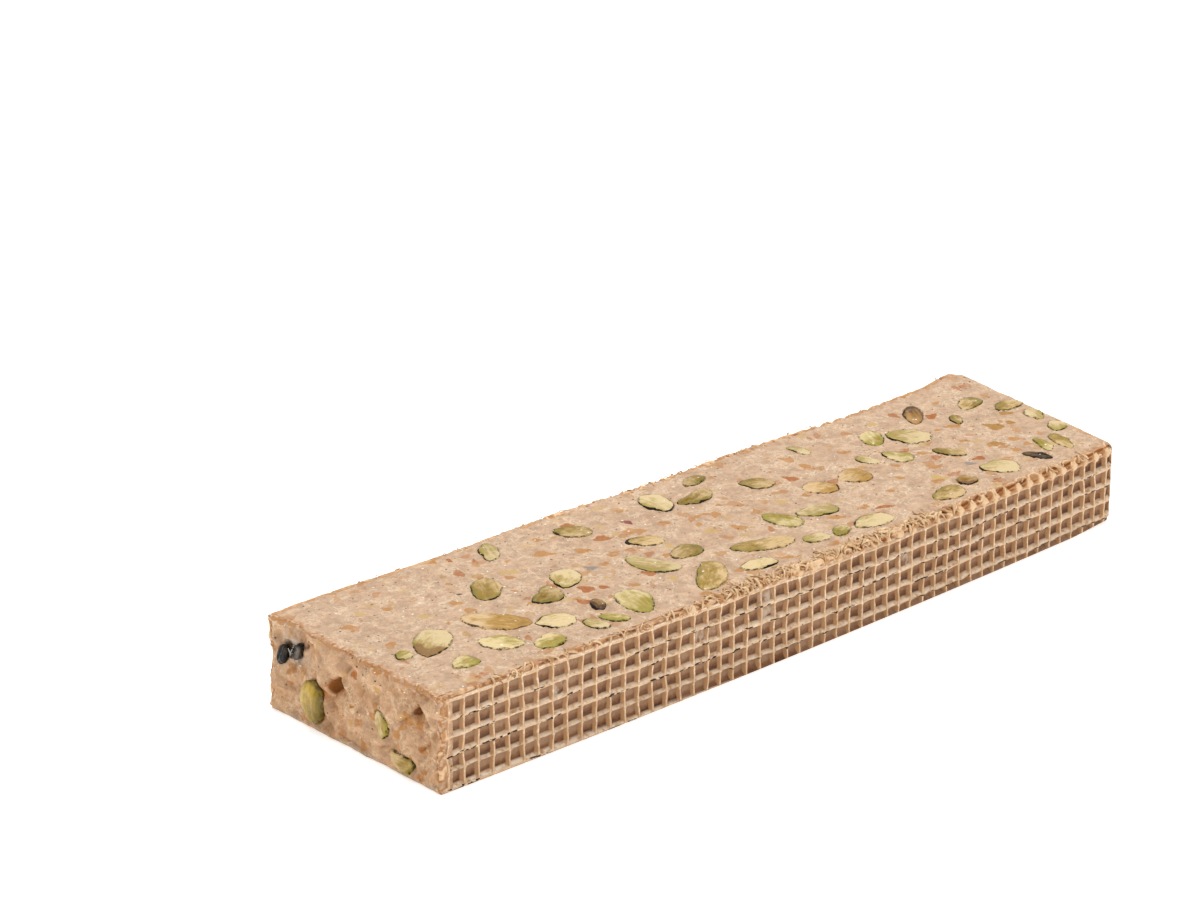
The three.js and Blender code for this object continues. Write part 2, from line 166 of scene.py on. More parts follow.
def blend(tree, share, first, second, how="MIX"):
    """Colour mix: first where share is 0, second where it is 1."""
    sockets = {0: share, 6: first, 7: second}
    mixed = add(tree, "Mix", sockets, data_type="RGBA", blend_type=how, clamp_factor=True)
    return mixed.outputs[2]


def shaded(tree, colour, shade):
    """A colour times a number, as a grey."""
    grey = add(tree, "CombineColor", {0: shade, 1: shade, 2: shade}).outputs[0]
    return blend(tree, 1.0, colour, grey, "MULTIPLY")


def object_place(tree):
    """Where a point lies on its object, in metres."""
    return add(tree, "TexCoord").outputs["Object"]


def value_of(tree, name):
    """The Fac output of a mesh attribute."""
    return add(tree, "Attribute", attribute_name=name).outputs["Fac"]


def colour_of(tree, name):
    return add(tree, "Attribute", attribute_name=name).outputs["Color"]


def noise(tree, where, size, detail=3.0, rough=0.55, twist=0.0):
    """Noise whose lumps are about size millimetres wide."""
    sockets = {"Vector": where, "Scale": 1 / (size * MM), "Detail": detail, "Roughness": rough}
    sockets["Distortion"] = twist
    return add(tree, "TexNoise", sockets).outputs["Fac"]


def patches(tree, where, lumps, *limits):
    """Soft patches: noise of a size, detail and roughness, through a smooth rise."""
    return step(tree, noise(tree, where, *lumps), *limits)


def stretched(tree, where, scale):
    """Coordinates multiplied axis by axis, so that a pattern is longest where scale is least."""
    return add(tree, "VectorMath", {0: where, 1: scale}, operation="MULTIPLY").outputs[0]


# %% Shader groups
def shader_group(name, inputs, outputs):
    """An empty node group with named sockets; returns it with its input and output nodes."""
    group = bpy.data.node_groups.new(name, "ShaderNodeTree")
    for label, kind, value in inputs:
        socket = group.interface.new_socket(label, in_out="INPUT", socket_type="NodeSocket" + kind)
        socket.default_value = value
    for label, kind in outputs:
        group.interface.new_socket(label, in_out="OUTPUT", socket_type="NodeSocket" + kind)
    return group, group.nodes.new("NodeGroupInput").outputs, group.nodes.new("NodeGroupOutput").inputs


def place_group(tree, group, inputs):
    made = tree.nodes.new("ShaderNodeGroup")
    made.node_tree = group
    fill(tree, made, inputs)
    return made.outputs


def new_material(name, shader_values):
    """A material with its Principled shader, whose plain values are set here."""
    material = bpy.data.materials.new(name)
    material.use_nodes = True
    shader = material.node_tree.nodes["Principled BSDF"]
    for key, value in shader_values.items():
        shader.inputs[key].default_value = value
    return material, material.node_tree, shader


def finish_material(tree, shader, colour, roughness, height, depth):
    """Feed a Principled shader; height is pressed in as bumps of depth millimetres."""
    tree.links.new(colour, shader.inputs["Base Color"])
    tree.links.new(roughness, shader.inputs["Roughness"])
    bump = add(tree, "Bump", {"Strength": 1.0, "Distance": depth * MM, "Height": height})
    tree.links.new(bump.outputs[0], shader.inputs["Normal"])


print("node helpers ready")

# %% [markdown]
# ## Floor and light
# A bar like this is shown on a white sweep under big soft lamps, which leave hardly any shadow.
# An even white sky does most of that, and the sweep glows a little, as one lit from below does.
# A wide lamp above adds the bright highlights. It stands a little behind the bar, so that the
# waffled side stays darker than the top. A smaller, weaker one in front lights that side a little.

# %% Floor and light
SKY_STRENGTH = 0.85
FLOOR_REACH = 3000.0
FLOOR_DROP = 0.05
FLOOR_GLOW = 0.42
LAMPS = {  # place in mm, size in mm, watts
    "lamp_above": ((250, 450, 1300), 1000, 15.0),
    "lamp_front": ((300, -1300, 900), 600, 5.0),
}


def make_floor():
    corners = np.array([[-1, -1], [1, -1], [1, 1], [-1, 1]]) * FLOOR_REACH * MM
    points = np.column_stack([corners, np.full(4, -FLOOR_DROP * MM)])
    mesh = bpy.data.meshes.new("floor")
    mesh.from_pydata(points.tolist(), [], [(0, 1, 2, 3)])
    floor = bpy.data.objects.new("floor", mesh)
    bpy.context.scene.collection.objects.link(floor)
    finish = {"Roughness": 0.9, "Specular IOR Level": 0.1, "Emission Strength": FLOOR_GLOW}
    material, tree, shader = new_material("pale_floor", finish)
    shade = noise(tree, object_place(tree), 900)
    colour = blend(tree, shade, srgb("fdfdfd"), srgb("f8f8f8"))
    tree.links.new(colour, shader.inputs["Base Color"])
    tree.links.new(colour, shader.inputs["Emission Color"])
    mesh.materials.append(material)


def make_lamp(name, place, size, watts):
    data = bpy.data.lights.new(name, "AREA")
    data.size = size * MM
    data.energy = watts
    lamp = bpy.data.objects.new(name, data)
    lamp.location = Vector(place) * MM
    lamp.rotation_euler = (-lamp.location).to_track_quat("-Z", "Y").to_euler()
    bpy.context.scene.collection.objects.link(lamp)


def make_sky():
    world = bpy.data.worlds.new("sky")
    world.use_nodes = True
    sky = world.node_tree.nodes["Background"]
    sky.inputs["Color"].default_value = (1, 1, 1, 1)
    sky.inputs["Strength"].default_value = SKY_STRENGTH
    bpy.context.scene.world = world


bpy.context.scene.view_settings.view_transform = "Standard"
make_floor()
make_sky()
for lamp_name, lamp_values in LAMPS.items():
    make_lamp(lamp_name, *lamp_values)
print("lamps:", ", ".join(LAMPS))

# %% [markdown]
# ## Shape helpers
# Food is uneven everywhere, so nearly every surface here gets some noise. A sum of plane waves in
# seeded directions is quick for whole arrays of points and gives the same lumps each run.

# %% Noise and steps for arrays
def waves(points, size, seed, count=16):
    """Noise of about -1 to 1: the sum of sin(way . point + phase) over plane waves whose lengths
    are near size millimetres, divided by the square root of their count."""
    random = np.random.default_rng(seed)
    ways = random.normal(size=(points.shape[-1], count))
    lengths = size * random.uniform(0.7, 1.5, count)
    ways *= 2 * np.pi / (lengths * np.linalg.norm(ways, axis=0))
    return np.sin(points @ ways + random.uniform(0, 2 * np.pi, count)).sum(-1) / np.sqrt(count)


def rise(value, low, high):
    """Smoothstep: 0 below low, 1 above high, 3t^2 - 2t^3 between."""
    t = np.clip((value - low) / (high - low), 0, 1)
    return t * t * (3 - 2 * t)


def hump(distance, reach):
    """A bell: exp(-(distance / reach)^2)."""
    return np.exp(-((distance / reach) ** 2))


def unit(vectors):
    return vectors / np.linalg.norm(vectors, axis=-1, keepdims=True)


# %% Making pieces
def make_piece(name, points, faces, material, replaced=()):
    """A smooth mesh object from bar millimetres, riding on the one body."""
    mesh = bpy.data.meshes.new(name)
    mesh.from_pydata(placed(points), [], faces)
    mesh.polygons.foreach_set("use_smooth", np.ones(len(mesh.polygons), bool))
    mesh.materials.append(material)
    mesh.update()
    piece = bpy.data.objects.new(name, mesh)
    bpy.context.scene.collection.objects.link(piece)
    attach(piece, "root")
    if replaced:
        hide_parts(*replaced)
    return piece


def paint(piece, **fields):
    """Store a number or a colour for each vertex of a piece, under its name."""
    for name, values in fields.items():
        values = np.ascontiguousarray(values, np.float32)
        if values.ndim == 1:
            piece.data.attributes.new(name, "FLOAT", "POINT").data.foreach_set("value", values)
        else:
            colours = piece.data.attributes.new(name, "FLOAT_COLOR", "POINT")
            colours.data.foreach_set("color", values.ravel())


# %% Faces of tubes
def ring_quads(rings, count):
    """Quads between rings of count points, and triangles to a pole before and after them."""
    around = np.arange(count)
    after = np.roll(around, -1)
    base = 1 + np.arange(rings - 1)[:, None] * count
    quads = np.stack([base + around, base + count + around, base + count + after, base + after], -1)
    last = 1 + (rings - 1) * count
    fans = [(0, 1 + a, 1 + b) for a, b in zip(around, after)]
    fans += [(1 + rings * count, last + b, last + a) for a, b in zip(around, after)]
    return quads.reshape(-1, 4).tolist() + fans


# %% [markdown]
# ## The form of the block
# The sawn block is nearly a box: it loses height along its length, its front side bows out, the
# far end is slanted and the far corners are round. Each of these is one function of place.

# %% The form of the block
LENGTH = 198.3
WIDTH = 53.0
NEAR_HEIGHT = 21.4
FAR_HEIGHT = 18.7
BOW = 1.6
NEAR_SLANT = -1.4 / WIDTH
FAR_SLANT = 5.1 / WIDTH
BACK_WAVE, BACK_WAVE_LENGTH = 0.4, 58.0
BACK_SWELL, BACK_SWELL_AT, BACK_SWELL_REACH = 2.1, 194.0, 6.0
FAR_CORNER_RADIUS = 3.0


def top_z(x):
    return NEAR_HEIGHT + (FAR_HEIGHT - NEAR_HEIGHT) * x / LENGTH


def front_y(x):
    """A flat parabola that stands out by the bow at mid-length."""
    share = np.clip(x / LENGTH, 0, 1)
    return -4 * BOW * share * (1 - share)


def back_y(x):
    swell = BACK_SWELL * hump(x - BACK_SWELL_AT, BACK_SWELL_REACH)
    return WIDTH + BACK_WAVE * np.sin(2 * np.pi * x / BACK_WAVE_LENGTH) + swell


TORN_WAVES = [(0.25, 0.62, 0.31), (0.25, -0.47, 0.93), (0.15, 1.7, 1.1)]  # height, turns a mm
TORN_HOLLOWS = [(46.6, 14.6, 4.6, 1.7), (43.6, 19.6, 2.4, 1.4), (8, 16, 2.6, 1.1), (32.6, 12, 1.8, 0.9)]


def torn_relief(y, z):
    """How far the broken face stands out: crossing sine waves, less a bell for each hollow."""
    relief = sum(high * np.sin(by_y * y + by_z * z) for high, by_y, by_z in TORN_WAVES)
    for hollow_y, hollow_z, reach, deep in TORN_HOLLOWS:
        relief = relief - deep * hump(np.hypot(y - hollow_y, z - hollow_z), reach)
    return relief


def bent(points):
    """Carry points of the straight block to the real one: y is spread between the two sides, and
    x is slanted in shares of the length."""
    x, y, z = np.moveaxis(np.asarray(points, float), -1, 0)
    share = x / LENGTH
    across = front_y(x) + y / WIDTH * (back_y(x) - front_y(x))
    return np.stack([x + y * (NEAR_SLANT * (1 - share) + FAR_SLANT * share), across, z], -1)


print("heights at the ends, mm:", top_z(0), top_z(LENGTH))

# %% [markdown]
# ## The waffle
# The wafer pressed a net of thin ribs and square pits, 52 along and about 5 high. A texture
# would stay flat in the outline and in every other view, so the pits are real depth: a formula
# gives the distance to the nearest rib, and the depth rises from the rib to a flat floor.

# %% The waffle
COLUMNS, ROWS = 52, 5
GRID_START = 2.0
CELL_LENGTH, CELL_LOSS = 3.83, 0.00114
CELL_HEIGHT = 3.85
RIB_TOP_NEAR, RIB_TOP_FAR = 19.7, 17.3
PIT_DEPTH_NEAR, PIT_DEPTH_FAR = 0.95, 1.2
RIB_HALF = 0.22
WALLS = {"left": 0.5, "right": 0.55, "upper": 0.5, "lower": 0.85}  # mm from the middle of a rib
WALL_POWER = 1.6  # how quickly a wall levels out towards its floor
LEAST_PIT, PIT_SPREAD = 0.84, 0.28  # shares of the depth, with and without the cell's own draw
WORN_DEPTH, FLOOR_WAVE = 0.1, 0.06  # mm
SMEARED_LOSS = 0.6  # share of its depth that a smeared pit has lost
CORNER_SOFTNESS = 0.05
SWAY_ALONG, SWAY_UP = ((0.2, 15), (0.1, 4.5)), ((0.14, 16), (0.08, 5))  # heights and lengths in mm
SMEARED = [(7, 1), (17, 1), (18, 1), (22, 0), (22, 1), (33, 1)]


def rib_x(column):
    return GRID_START + column * (CELL_LENGTH - CELL_LOSS * column)


def column_at(x):
    """Inverse of rib_x: the smaller root of its quadratic."""
    under_root = CELL_LENGTH**2 - 4 * CELL_LOSS * (np.asarray(x) - GRID_START)
    return (CELL_LENGTH - np.sqrt(under_root)) / (2 * CELL_LOSS)


def rib_top_z(x):
    return RIB_TOP_NEAR + (RIB_TOP_FAR - RIB_TOP_NEAR) * rise(x, 10, 150)


def cell_at(x, z):
    """Column and row coordinates on a side, counted along and down from the top rib."""
    return column_at(x), (rib_top_z(x) - z) / CELL_HEIGHT


def sway(x, z, seed):
    """How far the ribs lie off their even places along and up, in mm: waves of two lengths."""
    place = np.stack([x, z], -1)
    pairs = enumerate((*SWAY_ALONG, *SWAY_UP))
    parts = [high * waves(place, length, seed + at) for at, (high, length) in pairs]
    along, up = parts[0] + parts[1], parts[2] + parts[3]
    return along * rise(x, 0, 4) * rise(LENGTH - x, 0, 4), up * rise(z, 0, 2) * rise(top_z(x) - z, 0, 1.5)


def random_of_cell(column, row, seed):
    """A draw between 0 and 1 that all points of one cell share."""
    draws = np.random.default_rng(seed).random((COLUMNS + 4, ROWS + 4))
    places = np.floor(column).astype(int) + 2, np.floor(row).astype(int) + 2
    return draws[np.clip(places[0], 0, COLUMNS + 3), np.clip(places[1], 0, ROWS + 3)]


def rib_distance(along, down):
    """Distance to the nearest rib in mm: the smaller of two distances a and b, less the softness
    s * log(1 + exp(-|a - b| / s)), which rounds the corners of a pit."""
    softened = CORNER_SOFTNESS * np.log1p(np.exp(-np.abs(along - down) / CORNER_SOFTNESS))
    return np.maximum(np.minimum(along, down) - softened, 0)


def smear_at(column, row, place, smeared, seed):
    """How smeared the nougat is: 1 in the middle of each smeared cell, 0 outside it."""
    smear = np.zeros(column.shape)
    for smeared_column, smeared_row in smeared:
        away = np.hypot(column - smeared_column - 0.5, row - smeared_row - 0.5)
        smear = np.maximum(smear, 1 - rise(away + 0.2 * waves(place, 2.5, seed), 0.2, 0.75))
    return smear


def wall_slope(column, row):
    """Share of a pit's depth: each wall climbs as 1 - (1 - t)^1.6, and the four are multiplied."""
    shares = {"left": column % 1, "right": -column % 1, "upper": row % 1, "lower": -row % 1}
    slope = np.ones(column.shape)
    for wall, share in shares.items():
        climb = (share * CELL_HEIGHT - RIB_HALF) / (WALLS[wall] - RIB_HALF)
        slope = slope * (1 - (1 - np.clip(climb, 0, 1)) ** WALL_POWER)
    return slope


def pit_depth(x, z, seed):
    """Depth in mm: the cell's own depth times the slope of its walls, and slight wear on the
    ribs. The pits end at the near corner, above the top rib and at the underside."""
    column, row = cell_at(x, z)
    place = np.stack([x, z], -1)
    slope = wall_slope(column, row)
    deep = PIT_DEPTH_NEAR + (PIT_DEPTH_FAR - PIT_DEPTH_NEAR) * rise(x, 20, 150)
    deep = deep * (LEAST_PIT + PIT_SPREAD * random_of_cell(column, row, seed + 3))
    worn = WORN_DEPTH * np.maximum(waves(place, 3.2, seed + 5), 0) * (1 - slope)
    in_band = rise(x, GRID_START - 0.5, GRID_START + 0.1)
    over_top = rise(-row, 0.0, 0.12) * (1 - rise(x, 70, 150))
    full = (deep * slope + worn + FLOOR_WAVE * slope * waves(place, 1.8, seed + 6)) * in_band
    return full * (1 - 0.9 * over_top) * rise(z, -0.1, 0.9)


def waffle(x, z, seed, smeared=()):
    """Depth in mm, and the looks: distance to the nearest rib in mm, where the floor is, how
    smeared the pit is, how near its lower end, its lower wall, which gets a painted highlight, and the tone
    its cell draws."""
    column, row = cell_at(x, z)
    along = np.abs(column - np.round(column)) * CELL_LENGTH
    down = np.abs(row - np.round(row)) * CELL_HEIGHT
    smear = smear_at(column, row, np.stack([x, z], -1), smeared, seed + 4)
    looks = {
        "rib": rib_distance(along, down),
        "floor": wall_slope(column, row),
        "smear": smear,
        "sill": rise(row % 1, 0.25, 0.8),
        # the lower wall faces up into the light, so it gets a painted highlight
        "shelf_highlight": rise(row % 1, 0.76, 0.88) * rise(along, 0.25, 0.5),
        "tone": random_of_cell(column, row, seed + 7),
    }
    return pit_depth(x, z, seed) * (1 - SMEARED_LOSS * smear), looks


print("last rib at x, mm:", round(float(rib_x(COLUMNS - 1)), 1))

# %% [markdown]
# ## The lattice
# The block could be a subdivided cube, but a cube's even squares would miss the ribs. Here it is
# the shell of a box lattice. Its stations along the bar are set closely at every rib, and its rows
# follow the sinking net, so that a rib never crosses a face of the mesh at a slant.

# %% Places of the lattice lines
COLUMN_STEPS = np.array([0, 0.06, 0.14, 0.34, 0.6, 0.85, 0.94])
ROW_STEPS = np.array([0, 0.06, 0.14, 0.36, 0.58, 0.78, 0.94])
BAND_STATIONS = np.array([0, 0.45, 0.95, 1.5])
EDGE_LINES = np.array([0, 0.3, 0.65, 1.05, 1.55, 2.15, 2.9, 3.7])
MIDDLE_LINES = 62
FULL_ROWS = 4
LOW_STEPS = 8
TOP_STEPS = 4


def station_places():
    """x of every station: the band before the first rib, then seven steps in each cell."""
    columns = (np.arange(COLUMNS)[:, None] + COLUMN_STEPS).ravel()
    return np.concatenate([BAND_STATIONS, rib_x(columns), [LENGTH]])


def line_places():
    """y of every line: close together at both sides, even between."""
    middle = np.linspace(4.5, WIDTH - 4.5, MIDDLE_LINES + 1)
    return np.concatenate([EDGE_LINES, middle, WIDTH - EDGE_LINES[::-1]])


def row_places(x):
    """z of every row at x, from the underside up: low steps under the fourth cell, seven in each
    full cell, and a few between the top rib and the top."""
    lowest_full = rib_top_z(x) - FULL_ROWS * CELL_HEIGHT
    low = lowest_full[:, None] * np.linspace(0, 1, LOW_STEPS + 2)[:-1]
    down = (np.arange(FULL_ROWS)[:, None] + ROW_STEPS).ravel()
    full = rib_top_z(x)[:, None] - CELL_HEIGHT * down[::-1]
    band = top_z(x) - rib_top_z(x)
    high = rib_top_z(x)[:, None] + band[:, None] * np.linspace(0, 1, TOP_STEPS + 1)[1:]
    return np.concatenate([low, full, high], axis=1)


def lattice_shell(counts):
    """The outer points of a lattice as index triples, and quads that face outwards. On each of
    the six sides the quads join four neighbours of a flat slice of the numbering."""
    place = np.indices(counts)
    edge = np.zeros(counts, bool)
    for axis, count in enumerate(counts):
        edge |= (place[axis] == 0) | (place[axis] == count - 1)
    number = np.full(counts, -1)
    number[edge] = np.arange(edge.sum())
    quads = []
    for axis in range(3):
        for end in (0, -1):
            sheet = np.take(number, end, axis=axis)
            turned = (end == 0) != (axis == 1)
            sheet = sheet.T if turned else sheet
            corners = [sheet[:-1, :-1], sheet[1:, :-1], sheet[1:, 1:], sheet[:-1, 1:]]
            quads.append(np.stack(corners, -1).reshape(-1, 4))
    return place[:, edge], np.concatenate(quads)


STATIONS = station_places()
LINES = line_places()
HEIGHTS = row_places(STATIONS)
lattice, block_quads = lattice_shell((len(STATIONS), len(LINES), HEIGHTS.shape[1]))
print("block triangles:", 2 * len(block_quads))

# %% [markdown]
# ## Outlines of the kernels
# The frame holds a simple solid for each kernel: a low ring, its widest ring and a flat one. The
# widest ring has eight to eleven corners. A Fourier series through them is the smoothest closed
# curve of that shape, and it needs no control points.

# %% Kernel outlines
CURVE_POINTS = 56
TOP_NORMAL = np.array([(NEAR_HEIGHT - FAR_HEIGHT) / LENGTH, 0, 1.0])
TOP_NORMAL /= np.linalg.norm(TOP_NORMAL)
END_NORMAL = np.array([-1.0, 0, 0])
SUNK_RING = 0.25  # the frame's widest ring lies this far below the face


def node_corners(name):
    """The corners of a frame piece in bar millimetres, each once."""
    vertices = nodes[name].data.vertices
    flat = np.empty(len(vertices) * 3, np.float32)
    vertices.foreach_get("co", flat)
    return np.unique(flat.reshape(-1, 3), axis=0) / MM - CORNER


def smooth_loop(corners, count):
    """The closed Fourier curve through the corners, at count even places."""
    series = np.fft.rfft(corners, axis=0)
    return np.fft.irfft(series, count, axis=0) * (count / len(corners))


def kernel_outline(name):
    """The widest ring as a smooth curve in the face, its normal and the frame of its length:
    of three rings sorted by height, the middle one, in order of angle round its middle."""
    normal = END_NORMAL if name.startswith("end") else TOP_NORMAL
    corners = node_corners(name)
    by_height = corners[np.argsort(corners @ normal)]
    ring = by_height[len(corners) // 3 : 2 * len(corners) // 3]
    middle = ring.mean(0)
    first = np.linalg.svd(ring - middle)[2][0]
    first = first * np.sign(first @ np.array([1.0, -0.9, 0.3]))
    second = np.cross(normal, first)
    angle = np.arctan2((ring - middle) @ second, (ring - middle) @ first)
    curve = smooth_loop(ring[np.argsort(angle)], CURVE_POINTS) + SUNK_RING * normal
    return curve, normal, first, second


kernel_names = sorted(name for name in nodes if name != "nougat")
outlines = {name: kernel_outline(name) for name in kernel_names}
print("kernels:", len(outlines))

# %% [markdown]
# ## Where nougat meets a kernel
# A kernel is set in nougat that shrank a little round it, leaving a fine crease, which the
# material darkens with painted shade. The block stores for each vertex the distance to the nearest
# kernel outline, for its material, and the nougat sinks a little inside the outline, so that no
# lump of it covers a kernel.

# %% Distance to the kernels
HALO_REACH = 3.0
SOCKET_DEPTH = 0.9


def halo_field(points):
    """Distance in mm from each point to the nearest kernel outline, at most the reach and
    negative inside. A point is inside where it is nearer to the middle than the curve is in its
    direction."""
    halo = np.full(len(points), HALO_REACH)
    for curve, _, first, second in outlines.values():
        low, high = curve.min(0) - HALO_REACH, curve.max(0) + HALO_REACH
        near = np.flatnonzero(((points > low) & (points < high)).all(1))
        away = np.linalg.norm(points[near, None] - curve[None], axis=-1).min(1)
        off, spokes = points[near] - curve.mean(0), curve - curve.mean(0)
        turns = np.arctan2(spokes @ second, spokes @ first)
        order = np.argsort(turns)
        turn = np.arctan2(off @ second, off @ first)
        reach = np.linalg.norm(spokes, axis=-1)[order]
        border = np.interp(turn, turns[order], reach, period=2 * np.pi)
        inside = np.hypot(off @ first, off @ second) < border
        signed = np.where(inside, -away, away)
        halo[near] = np.where(np.abs(signed) < np.abs(halo[near]), signed, halo[near])
    return halo


def under_kernels(halo):
    """Share of a bump that may stay beside a kernel, and how deep the nougat sinks below one."""
    return rise(halo, 0.1, 1.6), SOCKET_DEPTH * rise(-halo, 0.1, 0.8)


# %% [markdown]
# ## The nougat
# Each lattice point starts on a sharp straight box. Rounding carries it onto soft edges, the
# waffle presses the sides in, the broken end gets its hollows, and the bend the real outline.
# Doing it in this order keeps every step a short formula on plain coordinates.

# %% Round edges
ROUND_LOW = 0.35
ROUND_TOP_NEAR, ROUND_TOP_FAR = 0.6, 1.7
ROUND_LOW_FAR = 1.7


def rounded(sharp):
    """Round the edges of the sharp box. d is, axis by axis, how deep a point lies in the edge
    zone, from 0 to 1, and the point moves in by radius * d * (1 - 1 / |d|)."""
    x, y, z = sharp.T
    high = top_z(x)
    radius = ROUND_TOP_NEAR + (ROUND_TOP_FAR - ROUND_TOP_NEAR) * rise(x, 60, 170)
    low = ROUND_LOW + (ROUND_LOW_FAR - ROUND_LOW) * rise(x, LENGTH - 16, LENGTH - 1)
    radius = low + (radius - low) * z / high
    to_end = np.minimum(x, LENGTH - x)
    to_side = np.minimum(y, WIDTH - y)
    to_cut = np.minimum(z, high - z)
    d = 1 - np.minimum(np.stack([to_end, to_side, to_cut], -1) / radius[:, None], 1)
    inwards = radius[:, None] * d * (1 - 1 / np.maximum(np.linalg.norm(d, axis=-1), 1)[:, None])
    middle = np.stack([np.full(x.shape, LENGTH / 2), np.full(y.shape, WIDTH / 2), high / 2], -1)
    return sharp + np.sign(middle - sharp) * inwards


def round_far_corners(points):
    """In plan, the square of each far corner becomes a quarter disc: a point keeps the larger of
    its two distances from the square's inner corner, as its radius."""
    x, y, z = points.T
    radius = FAR_CORNER_RADIUS
    along = np.maximum(x - (LENGTH - radius), 0)
    side = np.where(y < WIDTH / 2, -1.0, 1.0)
    across = np.maximum(side * (y - WIDTH / 2) - (WIDTH / 2 - radius), 0)
    reach = np.hypot(along, across)
    shrink = np.where(reach > 0, np.maximum(along, across) / np.maximum(reach, 1e-9), 1.0)
    x = x - along * (1 - shrink)
    y = y - side * across * (1 - shrink)
    return np.stack([x, y, z], -1)


# %% Relief
SIDE_REACH = 5.0  # a pit's depth dies out over this much of the cuts beside it
END_REACH = 6.0
DISH_DEPTH = 3.0  # room in the broken end for the slits of its skin


def side_relief(points, sharp):
    """Press both sides in by the waffle's depth, and pull the cuts beside them along."""
    x, y, z = sharp.T
    front_depth, front_looks = waffle(x, z, 40, SMEARED)
    back_depth, back_looks = waffle(x, z, 60)
    front_share = np.clip(1 - y / SIDE_REACH, 0, 1)
    back_share = np.clip(1 - (WIDTH - y) / SIDE_REACH, 0, 1)
    moved = points.copy()
    moved[:, 1] += front_depth * front_share - back_depth * back_share
    in_front = y < WIDTH / 2
    along, up = sway(x, z, 45)
    moved[:, 0] += along * np.maximum(front_share, back_share)
    moved[:, 2] += up * np.maximum(front_share, back_share)
    return moved, {key: np.where(in_front, front_looks[key], back_looks[key]) for key in front_looks}


def cut_relief(points, sharp, halo):
    """Lumps and saw drags of a few hundredths on the top, sockets under the kernels."""
    x, y, z = sharp.T
    on_top = rise(z - top_z(x), -0.3, 0)
    plan = sharp[:, :2]
    soft = 0.06 * waves(plan, 9, 11) + 0.035 * waves(plan * (0.35, 1), 2.4, 12)
    near_edge = 0.12 * hump(np.minimum(x, np.minimum(y, WIDTH - y)), 1.4) * waves(plan, 1.9, 15)
    lumps = soft + near_edge
    stays, sunk = under_kernels(halo)
    moved = points.copy()
    moved[:, 2] += on_top * (np.minimum(lumps, lumps * stays) - sunk)
    return moved


def end_relief(points, sharp, halo):
    """Crags of the broken end, which die out along the bar over the first few millimetres."""
    x, y, z = sharp.T
    out = torn_relief(y, z) * (0.3 + 0.7 * rise(z, 0, 4))
    stays, sunk = under_kernels(halo)
    out = np.where(x > 0, out, np.minimum(out, out * stays) - sunk)
    moved = points.copy()
    moved[:, 0] -= out * np.clip(1 - x / END_REACH, 0, 1)
    far = 0.05 * waves(sharp[:, 1:], 4.5, 24)
    moved[:, 0] += far * rise(x, LENGTH - 2, LENGTH)
    return moved


# %% Assemble the block
def from_end_rim(y, z):
    """Distance in mm of a point of the broken end from the nearest edge of that end."""
    return np.minimum(np.minimum(y, WIDTH - y), np.minimum(z, NEAR_HEIGHT - z))


def block_points():
    """The sharp box's points, and the same points on the finished block."""
    i, j, k = lattice
    sharp = np.stack([STATIONS[i], LINES[j], HEIGHTS[i, k]], -1)
    x, y, z = sharp.T
    points, fields = side_relief(rounded(sharp), sharp)
    halo = halo_field(bent(round_far_corners(points)))
    points = cut_relief(points, sharp, halo)
    points = bent(round_far_corners(points))
    fields["halo"] = halo
    points = end_relief(points, sharp, halo)
    points[:, 0] += np.where(x == 0, DISH_DEPTH * rise(from_end_rim(y, z), 1.0, 2.4), 0)
    return sharp, points, fields


block_sharp, block_real, block_fields = block_points()
print("block reaches, mm:", block_real.min(0).round(2), block_real.max(0).round(2))

# %% [markdown]
# ## Chips in the nougat
# Chopped nuts and candied crumbs sit in the nougat, and every cut shows slices of them. They are
# flush with it, so they are a matter of colour, not of form. Each vertex stores how far it lies
# inside the nearest chip and that chip's colour. The material turns the distance into a ragged
# border, which comes out much finer than the mesh.

